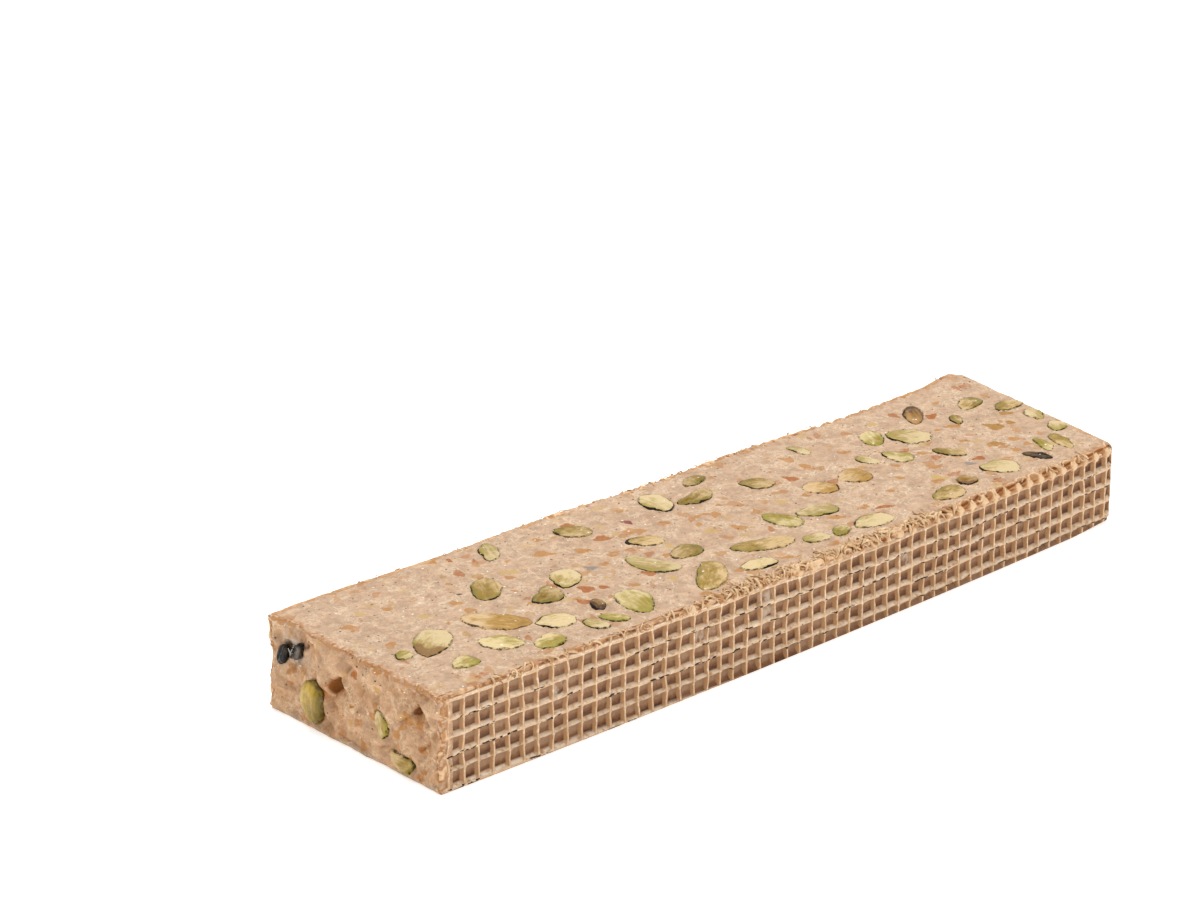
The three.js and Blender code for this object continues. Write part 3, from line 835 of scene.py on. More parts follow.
# %% Chips
CHIP_COLOURS = {
    "amber": "a6743c",
    "orange": "965a20",
    "ochre": "96691e",
    "brick": "96541a",
    "wine": "76302c",
    "rose": "a4744a",
    "yellow": "b3935a",
    "grey": "7c746c",
    "black": "1c181b",
    "pistachio": "8f8c3a",
    "olive": "86763a",
    "pale_nut": "aca474",
}
CHIPS_IN_TOP = {  # x, y, length, width in mm
    "amber": [
        (30.8, 27.5, 3.3, 2.6), (18.3, 39, 3.4, 1.8), (30.8, 32, 3.4, 2), (7, 37, 4.8, 2),
        (8.5, 25.5, 2.6, 1.8), (60.5, 38.7, 5.5, 3), (68, 34.7, 4.4, 2.8), (64.3, 45, 2.8, 1.8),
        (83.7, 34.5, 4.4, 2.6), (98, 32, 4, 1.6), (100.8, 31.8, 3, 1.6), (101.5, 22, 4.5, 2.6),
        (64.8, 15, 3, 1.9), (86.5, 6, 3, 2), (99, 4, 4.2, 1.7), (135.5, 36.8, 4.6, 2.1),
        (121.5, 12, 5, 2.1), (151.3, 23.8, 3.2, 1.7), (157.3, 18, 4.5, 2.4), (182.5, 17.3, 3.8, 2),
        (178.5, 12.8, 3.2, 2.2), (182.8, 13.5, 3, 2), (173, 24, 3.2, 1.7), (161, 24.8, 3.5, 2),
        (172.8, 32, 2.2, 1.5), (176.8, 31.7, 3.5, 1.7), (35.5, 40.3, 2.2, 1.4),
        (140.5, 14.5, 3.6, 1.7), (147, 18.5, 3, 1.6), (88, 44.8, 3.4, 1.5),
    ],
    "ochre": [(184.5, 25.3, 5.6, 3.4), (192, 29, 3.8, 2.4), (189, 24.5, 3.2, 2), (177.5, 18, 4, 2.4)],
    "brick": [
        (55.8, 19.7, 4.2, 3.2), (59.2, 18, 3, 1.8), (51.5, 15.5, 4.4, 2.6), (71, 17, 3.6, 2.4),
        (75.3, 36.7, 4.4, 2.8), (128.5, 33.7, 4.2, 2.8), (168.5, 14.8, 3.6, 2.4), (133, 9.5, 6, 1.8),
    ],
    "wine": [(85, 39.5, 3.6, 1.9)],
    "rose": [(155.5, 44, 3.2, 2.4), (147, 37, 3, 1.8), (110, 30, 3.4, 1.8)],
    "yellow": [
        (95.7, 24.5, 3.4, 2.6), (73, 12, 3.2, 2), (153.5, 12.8, 4.4, 3.2), (22, 31, 3.6, 2),
        (49.5, 36, 4, 2.2), (118, 26, 3.6, 2), (164, 44, 3.6, 2),
    ],
    "grey": [(63.5, 27, 3.4, 2.2), (164.5, 14, 3, 2)],
    "black": [(34.2, 35, 2.2, 1.3), (42.3, 39, 2.2, 1.3)],
}
CHIPS_IN_END = {  # y, z, length, width in mm
    "amber": [(10, 13, 3.4, 2.2), (12.5, 6.5, 3.2, 2.4), (24, 1.8, 3.6, 1.8), (31, 12.6, 2.4, 1.2)],
    "brick": [(33, 11.6, 4.6, 1.3), (44, 18.4, 2.4, 1.6)],
    "yellow": [(19.5, 16, 3, 1.4), (27, 6, 2.6, 1.5)],
}
FAINT_ON_CUT, FAINT_ON_END = 220, 30  # faint chips on the top or the underside, and on an end
FAINT_LENGTHS = (1.8, 4.0)
FAINT_TINTS = {"amber": 0.36, "orange": 0.12, "ochre": 0.1, "rose": 0.18, "yellow": 0.18, "brick": 0.06}
SLICES_BELOW, SLICES_AT_END = 46, 5  # kernels cut by the underside and by the far end
SLICE_LENGTHS = (5.5, 10.5)
SLICE_TINTS = {"pistachio": 0.45, "olive": 0.25, "pale_nut": 0.3}
CHIP_THICKNESS = 1.6
CHIP_SLIMNESS = (0.4, 0.7)  # a drawn chip's width as a share of its length
CHIP_POWER, CHIP_LUMP = 1.3, 0.28


def drawn_chips(random, count, low, high, axis, lengths, tints, strengths):
    """Seeded chips in a box: places, lengths, widths, turns, colours, strengths and cut axis."""
    places = random.uniform(low, high, (count, 3))
    length = random.uniform(*lengths, count)
    width = length * random.uniform(*CHIP_SLIMNESS, count)
    turn = random.uniform(0, np.pi, count)
    tint = random.choice(list(tints), count, p=list(tints.values()))
    strength = random.uniform(*strengths, count)
    return [(*row, axis) for row in zip(places, length, width, turn, tint, strength)]


def placed_chips(random):
    """The larger chips that are named one by one."""
    chips = []
    for tint, places in CHIPS_IN_TOP.items():
        for x, y, length, width in places:
            chips.append(((x, y, top_z(x)), length, width, random.normal(-0.6, 0.35), tint, 0.95, 2))
    for tint, places in CHIPS_IN_END.items():
        for y, z, length, width in places:
            chips.append(((0, y, z), length, width, random.uniform(0.9, 1.5), tint, 0.85, 0))
    return chips


def chip_list():
    """All chips as rows: place, length, width, turn, colour name, strength and cut axis."""
    random = np.random.default_rng(5)
    chips = placed_chips(random)
    flat = ((0, 0, 0), (LENGTH, WIDTH, 0), 2)
    ends = [((0, 0, 0), (0, WIDTH, 21), 0), ((LENGTH, 0, 0), (LENGTH, WIDTH, 19), 0)]
    faint = (FAINT_LENGTHS, FAINT_TINTS, (0.35, 1.0))
    on_top = drawn_chips(random, FAINT_ON_CUT, *flat, *faint)
    chips += [((place[0], place[1], top_z(place[0])), *rest) for place, *rest in on_top]
    chips += drawn_chips(random, FAINT_ON_CUT, *flat, *faint)
    for end in ends:
        chips += drawn_chips(random, FAINT_ON_END, *end, *faint)
    slices = (SLICE_LENGTHS, SLICE_TINTS, (0.95, 1.0))
    chips += drawn_chips(random, SLICES_BELOW, (6, 4, 0), (LENGTH - 6, WIDTH - 4, 0), 2, *slices)
    chips += drawn_chips(random, SLICES_AT_END, (LENGTH, 6, 4), (LENGTH, WIDTH - 6, 14), 0, *slices)
    return chips


def chip_fields(points):
    """How far each point lies inside the nearest chip, in mm, and that chip's colour, with its
    strength as alpha. In the chip's own axes a and b, and c through the cut, it lies where
    |a|^1.3 + |b|^1.3 + |c|^3 = 1.05 plus three slight lumps a turn."""
    inside = np.full(len(points), -9.0)
    tint = np.tile(srgb(CHIP_COLOURS["amber"]), (len(points), 1))
    for place, length, width, turn, colour, strength, axis in chip_list():
        off = points - np.asarray(place)
        near = np.flatnonzero((np.abs(off) < length + 2).all(1))
        first, second = (off[near, 0], off[near, 1]) if axis == 2 else (off[near, 1], off[near, 2])
        a = (first * np.cos(turn) + second * np.sin(turn)) / (length / 2)
        b = (second * np.cos(turn) - first * np.sin(turn)) / (width / 2)
        c = off[near, axis] / CHIP_THICKNESS
        lump = CHIP_LUMP * np.sin(3 * np.arctan2(b, a) + 7 * turn)
        border = np.abs(a) ** CHIP_POWER + np.abs(b) ** CHIP_POWER + np.abs(c) ** 3
        depth = (1.05 + lump - border) * width / 2
        depth = np.maximum(depth, -3)
        better = depth > inside[near]
        inside[near[better]] = depth[better]
        tint[near[better]] = (*srgb(CHIP_COLOURS[colour])[:3], strength)
    return inside, tint


chip_depth, chip_tint = chip_fields(block_real)
print("chips:", len(chip_list()), "points inside one:", int((chip_depth > 0).sum()))

# %% [markdown]
# ## Nougat colours
# Nougat is whipped sugar, honey and ground nuts: pinkish beige, mottled, with fine pale strands,
# pinhead dark specks of nut skin and pores, the pores' darkness being painted shade, and white specks
# that are painted glints. The effects are shader groups with named sockets, because several
# materials share them: the block, the broken face, the shreds and the kernels' painted glints.

# %% Mottling group
POSITION = ("Position", "Vector", (0, 0, 0))  # the socket that every group has


def make_mottle_group():
    """Cloudy tone: two colours mixed by soft noise, with two finer grains over them."""
    tones = [("Light", "Color", (1, 1, 1, 1)), ("Dark", "Color", (0, 0, 0, 1))]
    outputs = [("Color", "Color"), ("Height", "Float")]
    group, inp, out = shader_group("mottled", [POSITION, *tones], outputs)
    clouds = patches(group, inp["Position"], (3.2, 5, 0.7, 0.6), 0.32, 0.68)
    grain = noise(group, inp["Position"], 1.1, 4, 0.75)
    dust = noise(group, inp["Position"], 0.28, 2, 0.6)
    tone = blend(group, clouds, inp["Dark"], inp["Light"])
    both = plus(group, grain, times(group, dust, 0.6))
    shade = step(group, both, 0.5, 1.1, 0.78, 1.18)
    group.links.new(shaded(group, tone, shade), out["Color"])
    group.links.new(both, out["Height"])
    return group


# %% Speck and strand groups
def make_speck_group():
    """Ragged specks: cells of a Voronoi pattern at shifted places, kept by chance, out to a
    radius."""
    values = {"Spacing": 1.5, "Radius": 0.15, "Kept": 0.4, "Ragged": 0.1}
    numbers = [(label, "Float", value) for label, value in values.items()]
    group, inp, out = shader_group("specks", [POSITION, *numbers], [("Mask", "Float")])
    wild = add(group, "TexNoise", {"Vector": inp["Position"], "Scale": 1 / (0.7 * MM), "Detail": 2.0})
    off = add(group, "VectorMath", {0: wild.outputs["Color"], 1: (0.5, 0.5, 0.5)}, operation="SUBTRACT")
    shift = times(group, inp["Ragged"], 4 * MM)
    off = add(group, "VectorMath", {0: off.outputs[0], "Scale": shift}, operation="SCALE")
    where = add(group, "VectorMath", {0: inp["Position"], 1: off.outputs[0]}, operation="ADD").outputs[0]
    scale = maths(group, "DIVIDE", 1 / MM, inp["Spacing"])
    cells = add(group, "TexVoronoi", {"Vector": where, "Scale": scale})
    radius = maths(group, "DIVIDE", inp["Radius"], inp["Spacing"])
    spot = step(group, maths(group, "DIVIDE", cells.outputs["Distance"], radius), 1.1, 0.8)
    draw = add(group, "SeparateColor", {0: cells.outputs["Color"]}).outputs[0]
    kept = maths(group, "LESS_THAN", draw, inp["Kept"])
    group.links.new(times(group, spot, kept), out["Mask"])
    return group


def make_strand_group():
    """Hair-fine lines: where a twisted noise crosses its middle value, in patches."""
    numbers = [("Size", "Float", 2.6), ("Fineness", "Float", 0.025)]
    group, inp, out = shader_group("strands", [POSITION, *numbers], [("Mask", "Float")])
    sockets = {"Vector": inp["Position"], "Scale": maths(group, "DIVIDE", 1 / MM, inp["Size"])}
    sockets.update({"Detail": 2.0, "Roughness": 0.5, "Distortion": 1.6})
    field = add(group, "TexNoise", sockets).outputs["Fac"]
    off = maths(group, "ABSOLUTE", minus(group, field, 0.5))
    line = minus(group, 1.0, step(group, off, 0.0, inp["Fineness"]))
    patch = patches(group, inp["Position"], (4.2, 1), 0.42, 0.58)
    group.links.new(times(group, line, patch), out["Mask"])
    return group


MOTTLED = make_mottle_group()
SPECKS = make_speck_group()
STRANDS = make_strand_group()
print("groups:", len(bpy.data.node_groups))

# %% [markdown]
# ## Cut nougat and waffle skin
# One material covers the block, because the real one is one mass: the waffle skin is the same
# nougat, browned by the wafer. Attributes on the mesh say where a point lies: on a rib, in a pit,
# in a chip or beside a kernel.

# %% Cut nougat
CUT_LIGHT, CUT_DARK = srgb("bc9d80"), srgb("a6886e")
# The brown specks are nut skin and, where they mark pores, painted shade; the white ones are painted glints,
# small highlights.
STRAND_PALE, SPECK_BROWN, PAINTED_GLINT_WHITE = srgb("d3bda1"), srgb("4a2c16"), srgb("e6dccf")
FLECK_AMBER, FLECK_ORANGE, FLECK_YELLOW = srgb("a06c34"), srgb("98561f"), srgb("b0905a")
# The crease colour is painted shade in the fine crease round each kernel.
CREASE_SHADE = srgb("665426")
NOUGAT_GLOSS = 0.14  # nougat throws back less light than glass
STRAND_NETS = ((3.4, 0.045, 0.6), (1.8, 0.05, 0.45))  # size in mm, fineness, strength
# Turn in degrees, stretch, spacing, radius and raggedness in mm, share kept, strength and colour
SPECK_KINDS = [
    (35, 0.6, 5.6, 1.15, 0.5, 0.4, 0.9, FLECK_AMBER),
    (-25, 0.55, 6.8, 1.15, 0.5, 0.34, 0.85, FLECK_ORANGE),
    (70, 0.6, 6.2, 1.2, 0.5, 0.34, 0.7, FLECK_YELLOW),
    (0, 0.8, 2.9, 0.5, 0.4, 0.32, 0.85, FLECK_AMBER),
    (0, 1.0, 1.7, 0.21, 0.1, 0.42, 0.9, SPECK_BROWN),
    (0, 1.0, 2.3, 0.24, 0.2, 0.26, 0.9, PAINTED_GLINT_WHITE),
]


def specked(tree, where, colour):
    """Lay every kind of speck over a colour, the white ones as painted glints; also return the dark ones'
    mask, for pores, whose dark colour is partly painted shade.
    """
    masks = {}
    fading = patches(tree, where, (1.7, 3, 0.6), 0.35, 0.62, 0.3, 1.0)
    for turn, stretch, spacing, radius, ragged, kept, strength, tint in SPECK_KINDS:
        turned = {"Vector": where, "Rotation": (0, 0, np.radians(turn)), "Scale": (stretch, 1, 1)}
        values = {"Spacing": spacing, "Radius": radius, "Kept": kept, "Ragged": ragged}
        values["Position"] = add(tree, "Mapping", turned).outputs[0]
        mask = masks[tint] = place_group(tree, SPECKS, values)[0]
        mask = times(tree, mask, fading) if radius > 0.4 else mask
        colour = blend(tree, times(tree, mask, strength), colour, tint)
    return colour, masks[SPECK_BROWN]


def with_strands(tree, where, colour):
    """Lay the nets of pale strands over a colour."""
    for size, fineness, strength in STRAND_NETS:
        inputs = {"Position": where, "Size": size, "Fineness": fineness}
        strands = place_group(tree, STRANDS, inputs)[0]
        colour = blend(tree, times(tree, strands, strength), colour, STRAND_PALE)
    return colour


def with_chips(tree, where, colour):
    """Lay the chips over a colour, with borders that noise makes ragged and a streaky tint."""
    ragged = times(tree, noise(tree, where, 0.7, 3, 0.6), 0.7)
    inside = plus(tree, value_of(tree, "chip"), minus(tree, ragged, 0.35))
    streaked = patches(tree, where, (1.3, 4, 0.65), 0.35, 0.6, 0.82, 1.0)
    alpha = add(tree, "Attribute", attribute_name="chip_tint").outputs["Alpha"]
    mask = times(tree, step(tree, inside, -0.05, 0.14), times(tree, alpha, streaked))
    return blend(tree, mask, colour, colour_of(tree, "chip_tint"))


def crease_beside(tree, where):
    """The fine crease beside a kernel, pressed in and darkened with painted shade: 1 on its outline, 0 from
    about a quarter millimetre out.
    """
    wander = times(tree, noise(tree, where, 0.7), -0.5)
    beside = plus(tree, plus(tree, value_of(tree, "halo"), wander), 0.25)
    return step(tree, beside, 0.26, 0.0)


def cut_colour(tree, where):
    """Colour and height of cut nougat with strands, chips, specks, and the kernels' creases with painted
    shade in them.
    """
    mottled = place_group(tree, MOTTLED, {"Position": where, "Light": CUT_LIGHT, "Dark": CUT_DARK})
    colour = with_chips(tree, where, with_strands(tree, where, mottled[0]))
    colour, pores = specked(tree, where, colour)
    crease = crease_beside(tree, where)
    patchy = patches(tree, where, (3.2, 2), 0.4, 0.6, 0.05, 0.6)
    # painted shade along the crease, in patches
    colour = blend(tree, times(tree, crease, patchy), colour, CREASE_SHADE)
    height = minus(tree, mottled[1], times(tree, pores, 0.6))
    return colour, minus(tree, height, times(tree, crease, 0.3))


# %% Waffle skin
# The palest colour is a painted highlight: on the up-facing shelves and, as sheen, on the ribs.
RIB_CREAM, PAINTED_HIGHLIGHT_PALE, WALL_TAN = srgb("caa986"), srgb("e2cfb6"), srgb("a67c54")
PIT_GREY, PIT_BROWN = srgb("95755a"), srgb("775034")
# The near-black is painted shade in small air pockets of the ribs.
PIT_DARK, SMEAR_GREY, POCKET_SHADE_BLACK, BAKED_TAN = srgb("44230f"), srgb("b29e88"), srgb("26140a"), srgb("a56b38")


def pit_colour(tree, where):
    """Tan walls, a grey-brown floor that darkens to its lower end, and a painted highlight on the shelf at
    its foot.
    """
    rough = minus(tree, noise(tree, where, 1.2, 4, 0.65), 0.5)
    deep = plus(tree, value_of(tree, "floor"), times(tree, rough, 0.4))
    deep = step(tree, deep, 0.72, 0.98)
    tone = times(tree, minus(tree, value_of(tree, "tone"), 0.5), 0.4)
    sunk = plus(tree, plus(tree, value_of(tree, "sill"), rough), tone)
    floor = blend(tree, step(tree, sunk, 0.0, 0.75), PIT_GREY, PIT_BROWN)
    floor = blend(tree, step(tree, sunk, 0.7, 1.15, 0.0, 0.9), floor, PIT_DARK)
    colour = blend(tree, deep, WALL_TAN, floor)
    shelf_highlight = value_of(tree, "shelf_highlight")
    shelf_highlight = times(tree, shelf_highlight, patches(tree, where, (1.2, 3), 0.28, 0.55))
    return blend(tree, times(tree, shelf_highlight, 0.9), colour, PAINTED_HIGHLIGHT_PALE)


def pocket_shade_mask(tree, where):
    """Short dark dashes on the ledges under the level ribs, in patches: the painted shade of small air
    pockets, also pressed in as bumps.
    """
    along = noise(tree, stretched(tree, where, (1, 1, 2.5)), 1.3, 1)
    patch = step(tree, noise(tree, stretched(tree, where, (1, 1, 2)), 7, 1), 0.42, 0.54)
    dash = times(tree, step(tree, along, 0.48, 0.54), value_of(tree, "ledge"))
    return step(tree, times(tree, dash, patch), 0.34, 0.46)


def skin_colour(tree, where):
    """Colour of the waffle, and its dashes' mask: the pits, cream ribs with patches of painted sheen,
    grey smears, and black dashes along the level ribs, which are painted shade of small air pockets."""
    wander = times(tree, noise(tree, where, 0.8), 0.3)
    distance = minus(tree, plus(tree, value_of(tree, "rib"), wander), 0.15)
    rib = step(tree, distance, 0.3, 0.06)
    colour = blend(tree, rib, pit_colour(tree, where), RIB_CREAM)
    # painted sheen: pale highlight patches on the ribs
    painted_sheen = patches(tree, where, (0.9, 3), 0.52, 0.66, 0.0, 0.75)
    colour = blend(tree, times(tree, rib, painted_sheen), colour, PAINTED_HIGHLIGHT_PALE)
    film = step(tree, noise(tree, stretched(tree, where, (1, 1, 0.5)), 1.2, 4, 0.6), 0.42, 0.58, 0.0, 0.8)
    colour = blend(tree, times(tree, value_of(tree, "smear"), film), colour, SMEAR_GREY)
    dash = pocket_shade_mask(tree, where)
    return blend(tree, dash, colour, POCKET_SHADE_BLACK), dash


# %% The block's material
def make_block_material():
    material, tree, shader = new_material("soft_nougat", {"Specular IOR Level": NOUGAT_GLOSS})
    where = object_place(tree)
    cut, height = cut_colour(tree, where)
    on_side = value_of(tree, "side")
    skin, dash = skin_colour(tree, where)
    colour = blend(tree, on_side, cut, skin)
    crumb = value_of(tree, "crumb")
    crumb = times(tree, crumb, patches(tree, where, (0.8, 4), 0.45, 0.6))
    colour = blend(tree, crumb, colour, BAKED_TAN)
    satin = patches(tree, where, (1.6, 4), 0.3, 0.7, 0.38, 0.6)
    wet = patches(tree, where, (1.1, 3), 0.4, 0.65, 0.5, 0.2)
    roughness = blend(tree, on_side, satin, wet)
    height = minus(tree, height, times(tree, dash, 2.0))
    finish_material(tree, shader, colour, roughness, height, 0.16)
    return material


def block_masks(sharp):
    """Where a point lies: on a waffled side, just under a level rib, in a crumbly edge."""
    x, y, z = sharp.T
    from_side = np.minimum(y, WIDTH - y)
    _, row = cell_at(x, z)
    on_side = rise(from_side, 0.35, 0.0) * rise(x, 0.6, 1.8) * rise(LENGTH - x, 0.0, 0.5)
    under_rib = (row - np.round(row)) * CELL_HEIGHT
    ledge = on_side * hump(under_rib - 0.1, 0.28) * rise(row, 0.3, 0.6) * (1 - 0.35 * rise(x, 110, 150))
    edge_width = 0.7 + 1.6 * rise(x, 50, 90)
    on_edge = 0.7 * hump(from_side, edge_width) * rise(z - rib_top_z(x), 0.2, 0.9)
    on_edge = on_edge * np.where(y < 20, 1, 0.4)
    at_end = hump(x, 1.6) * np.maximum(rise(z - top_z(x), -0.8, -0.1), rise(from_side, 2.2, 0.6))
    crumb = np.clip(on_edge + at_end, 0, 1)
    return {"side": on_side, "ledge": ledge, "crumb": crumb}


def make_block():
    material = make_block_material()
    block = make_piece("nougat_block", block_real, block_quads, material, ["nougat"])
    paint(block, **block_fields, **block_masks(block_sharp))
    paint(block, chip=chip_depth, chip_tint=chip_tint)


make_block()
print("block painted")

# %% [markdown]
# ## Crumbly edges
# The saw tears the edges of a soft bar into winding shreds with brown hollows between them. Their
# brown is partly baked colour and partly painted shade, and the crests are cream with a painted
# highlight. Such shreds are finer than the block's mesh, so a crust lies over each edge: a closed
# band, whose outer side is the block's own surface pushed out by a crumpled noise and whose rims
# dive into the block.

# %% Crumpled relief
def crumpled(points, size, seed):
    """Winding crests about size mm apart: 1 - 2 |n|, with n the noise at places that three other
    noises have shifted."""
    shift = np.stack([waves(points, 1.5 * size, seed + at) for at in (1, 2, 3)], -1)
    return 1 - 2 * np.abs(waves(points + 0.32 * size * shift, 2.2 * size, seed))


def plain_surface(sharp):
    """Points of the sharp box on the real block, with its rounding, hollows and bend but without
    pits, and their distances to the nearest kernel."""
    flat = sharp.reshape(-1, 3)
    real = bent(round_far_corners(rounded(flat)))
    halo = halo_field(real)
    return end_relief(real, flat, halo).reshape(sharp.shape), halo.reshape(sharp.shape[:-1])


def outwards(points, faces):
    """Faces turned round if they enclose a negative volume: the sum of a . (b x c) / 6 over the
    triangles from each face's first corner."""
    corners = np.array([face[:3] for face in faces])
    rest = np.array([(face[0], face[2], face[3]) for face in faces if len(face) == 4])
    a, b, c = (points[np.concatenate([corners, rest])[:, at]] for at in range(3))
    if (a * np.cross(b, c)).sum() > 0:
        return faces
    return [tuple(reversed(face)) for face in faces]


# %% Crust shape
CRUST_STEP = 0.24
CRUST_COLUMNS = 26
CRUST_DIVE = 0.7
CRUST_HEART = 1.4  # mm under both faces, where a crust's inner line lies
CRUST_NOISE = ((0.76, 2.3, 0), (0.24, 1.0, 9))  # weight, size in mm, added to the seed
BEAD_HALF, BEAD_MIDDLE, BEAD_LONG = 1.6, 0.15, 1.8


def off_rib(x):
    """How far a place along the bar lies from the nearest upright rib, in columns."""
    return column_at(x) - np.round(column_at(x))


def beads(x, s):
    """Where the top cuts a row of pits open, each column ends in an arch round a hollow: a crest
    where the share r of an ellipse is 1, and a bell at its middle."""
    column = column_at(x)
    draw = random_of_cell(column, np.zeros(x.shape), 77)
    off = (column - np.floor(column) - 0.5) * CELL_LENGTH / BEAD_HALF
    r = np.hypot(off, (s - BEAD_MIDDLE - 0.8 * (draw - 0.5)) / (BEAD_LONG * (0.6 + 0.6 * draw)))
    return (0.25 + 0.4 * draw) * hump(r - 1, 0.2) - (0.45 + 0.6 * draw) * hump(r, 0.7)


def band_places(corner, down, inwards, profile):
    """Arc lengths s across an edge, and their points on the sharp box: s runs from -reach_down,
    down one face, to reach_in, in over the other."""
    share = np.linspace(0, 1, CRUST_COLUMNS)
    reach_down, reach_in = profile["reach_down"], profile["reach_in"]
    s = (reach_down + reach_in)[:, None] * share - reach_down[:, None]
    below, beside = np.maximum(-s, 0)[..., None], np.maximum(s, 0)[..., None]
    return s, corner[:, None] + below * down + beside * inwards


def band_normals(real, into):
    """Unit normals, from the cross product of a band's two directions, that point out of it."""
    normal = unit(np.cross(np.gradient(real, axis=0), np.gradient(real, axis=1)))
    return -np.sign((normal @ into).mean()) * normal


def band_rims(count):
    """1 in the middle of a band, falling to 0 at its two rims and its two ends."""
    share = np.linspace(0, 1, CRUST_COLUMNS)
    row = np.linspace(0, 1, count) * count * CRUST_STEP
    ends = rise(row, 0, 0.8) * rise(row[::-1], 0, 0.8)
    return rise(share, 0, 0.12) * rise(1 - share, 0, 0.3) * ends[:, None]


def crust_shape(corner, down, inwards, profile, seed):
    """Rings of points across an edge, and how high on its crests each lies, from 0 to 1. Their
    relief is crumpled noise, arches and ridges at the ribs, less a seam along the top."""
    strength, beaded, seamed, ribbed = (
        profile[name][:, None] for name in ("strength", "beaded", "seamed", "ribbed")
    )
    s, sharp = band_places(corner, down, inwards, profile)
    real, halo = plain_surface(sharp)
    normal = band_normals(real, down + inwards)
    fine = sum(share * crumpled(real, size, seed + more) for share, size, more in CRUST_NOISE)
    arch = beaded * beads(sharp[..., 0], s)
    seam_at = 0.9 + 0.35 * waves(corner, 5, seed + 3)
    seam = seamed * hump(s - seam_at[:, None] + 0.12 * fine, 0.26)
    ridge = ribbed * (hump(off_rib(corner[:, 0]), 0.24)[:, None] - 0.5) * rise(-s, 0.3, 1.0)
    relief = strength * (0.5 * fine + 0.1) + arch - 0.7 * seam + 0.55 * ridge
    stays, sunk = under_kernels(halo)
    relief = np.minimum(relief, relief * stays) - sunk - CRUST_DIVE * (1 - band_rims(len(corner)))
    contrast = 0.6 * np.minimum(1.6 * strength, 1) * (1 - 0.7 * beaded)
    # crest picks the colour: low values give painted shade in the hollows and the seam, high ones a painted
    # highlight on the crests
    crest = 0.38 + 0.14 * ribbed + contrast * fine + 0.9 * np.maximum(arch, -0.1) - 1.9 * seam
    crest = np.clip(crest + 0.7 * ridge, 0, 1)
    heart = plain_surface((corner + CRUST_HEART * (down + inwards))[:, None])[0]
    rings = np.concatenate([real + relief[..., None] * normal, heart], axis=1)
    return rings, np.concatenate([crest, np.full((len(corner), 1), 0.5)], axis=1)


# %% Crust finish
# The brown is partly baked colour and partly painted shade; the cream is partly a painted highlight.
BAKED_BROWN_AND_SHADE, CRUST_TAN, CREAM_AND_CREST_HIGHLIGHT = srgb("874e1e"), srgb("ac8056"), srgb("d2b08a")


def make_crust_material():
    """Brown in the hollows, partly baked and partly painted shade, tan on the slopes, cream on the crests,
    partly a painted highlight, and baked brown patches.
    """
    material, tree, shader = new_material("nougat_crust", {"Specular IOR Level": NOUGAT_GLOSS})
    where = object_place(tree)
    grain = noise(tree, where, 0.5, 3, 0.6)
    crest = plus(tree, value_of(tree, "crest"), times(tree, grain, 0.3))
    colour = blend(tree, step(tree, crest, 0.3, 0.6), BAKED_BROWN_AND_SHADE, CRUST_TAN)
    colour = blend(tree, step(tree, crest, 0.62, 0.95), colour, CREAM_AND_CREST_HIGHLIGHT)
    baked = patches(tree, where, (3.4, 3), 0.55, 0.75, 0.0, 0.5)
    colour = blend(tree, baked, colour, BAKED_BROWN_AND_SHADE)
    finish_material(tree, shader, colour, step(tree, grain, 0.3, 0.7, 0.25, 0.55), grain, 0.1)
    return material


CRUST_MATERIAL = make_crust_material()


def make_crust(name, *shape):
    rings, crest = crust_shape(*shape)
    points = np.concatenate([[rings[0].mean(0)], rings.reshape(-1, 3), [rings[-1].mean(0)]])
    faces = outwards(points, ring_quads(len(rings), rings.shape[1]))
    piece = make_piece(name, points, faces, CRUST_MATERIAL)
    paint(piece, crest=np.concatenate([[0.5], crest.ravel(), [0.5]]))
    print(name, "faces:", len(faces))


# %% Crusts along the edges
ALONG, ACROSS, DOWN = np.array([1.0, 0, 0]), np.array([0, 1.0, 0]), np.array([0, 0, -1.0])
TWISTED_FROM, BEADED_FROM = (55, 80), (132, 150)  # mm along the bar


def top_edge(y, inwards, strength, seed, name):
    """One long top edge: a thin lip at first, then shreds, then beads out to the far end. In
    front a seam, broken where it is twisted, runs along the top."""
    x = np.arange(0.3, LENGTH - 1.0, CRUST_STEP)
    line = x[:, None]
    corner = np.stack([x, np.full(x.shape, y), top_z(x)], -1)
    in_front = y == 0
    twisted, beaded = rise(x, *TWISTED_FROM), rise(x, *BEADED_FROM)
    rough = strength * (0.45 + 0.6 * twisted - 0.8 * beaded)
    broken_seam = rise(waves(line, 11, seed + 8), -1.1, 0.1)
    profile = {
        "reach_down": 0.75 + twisted * (0.75 + 0.6 * hump(off_rib(x), 0.3)) + 0.45 * beaded,
        "reach_in": 2.0 + 0.6 * twisted + 0.5 * beaded + 0.3 * waves(line, 9, seed + 5),
        "strength": rough * (1 + 0.3 * waves(line, 16, seed + 7)),
        "beaded": beaded if in_front else 0.35 * beaded,
        "seamed": (1 - 0.6 * beaded) * np.maximum(broken_seam, 1 - twisted) * in_front,
        "ribbed": twisted if in_front else np.full(x.shape, 0.8),
    }
    make_crust(name, corner, DOWN, inwards, profile, seed)


def short_edge(corner, down, inwards, reaches, strength, seed, name):
    values = {"strength": strength, "beaded": 0.0, "seamed": 0.3, "ribbed": 0.0}
    values.update(zip(("reach_down", "reach_in"), reaches))
    profile = {key: np.full(len(corner), value) for key, value in values.items()}
    make_crust(name, corner, down, inwards, profile, seed)


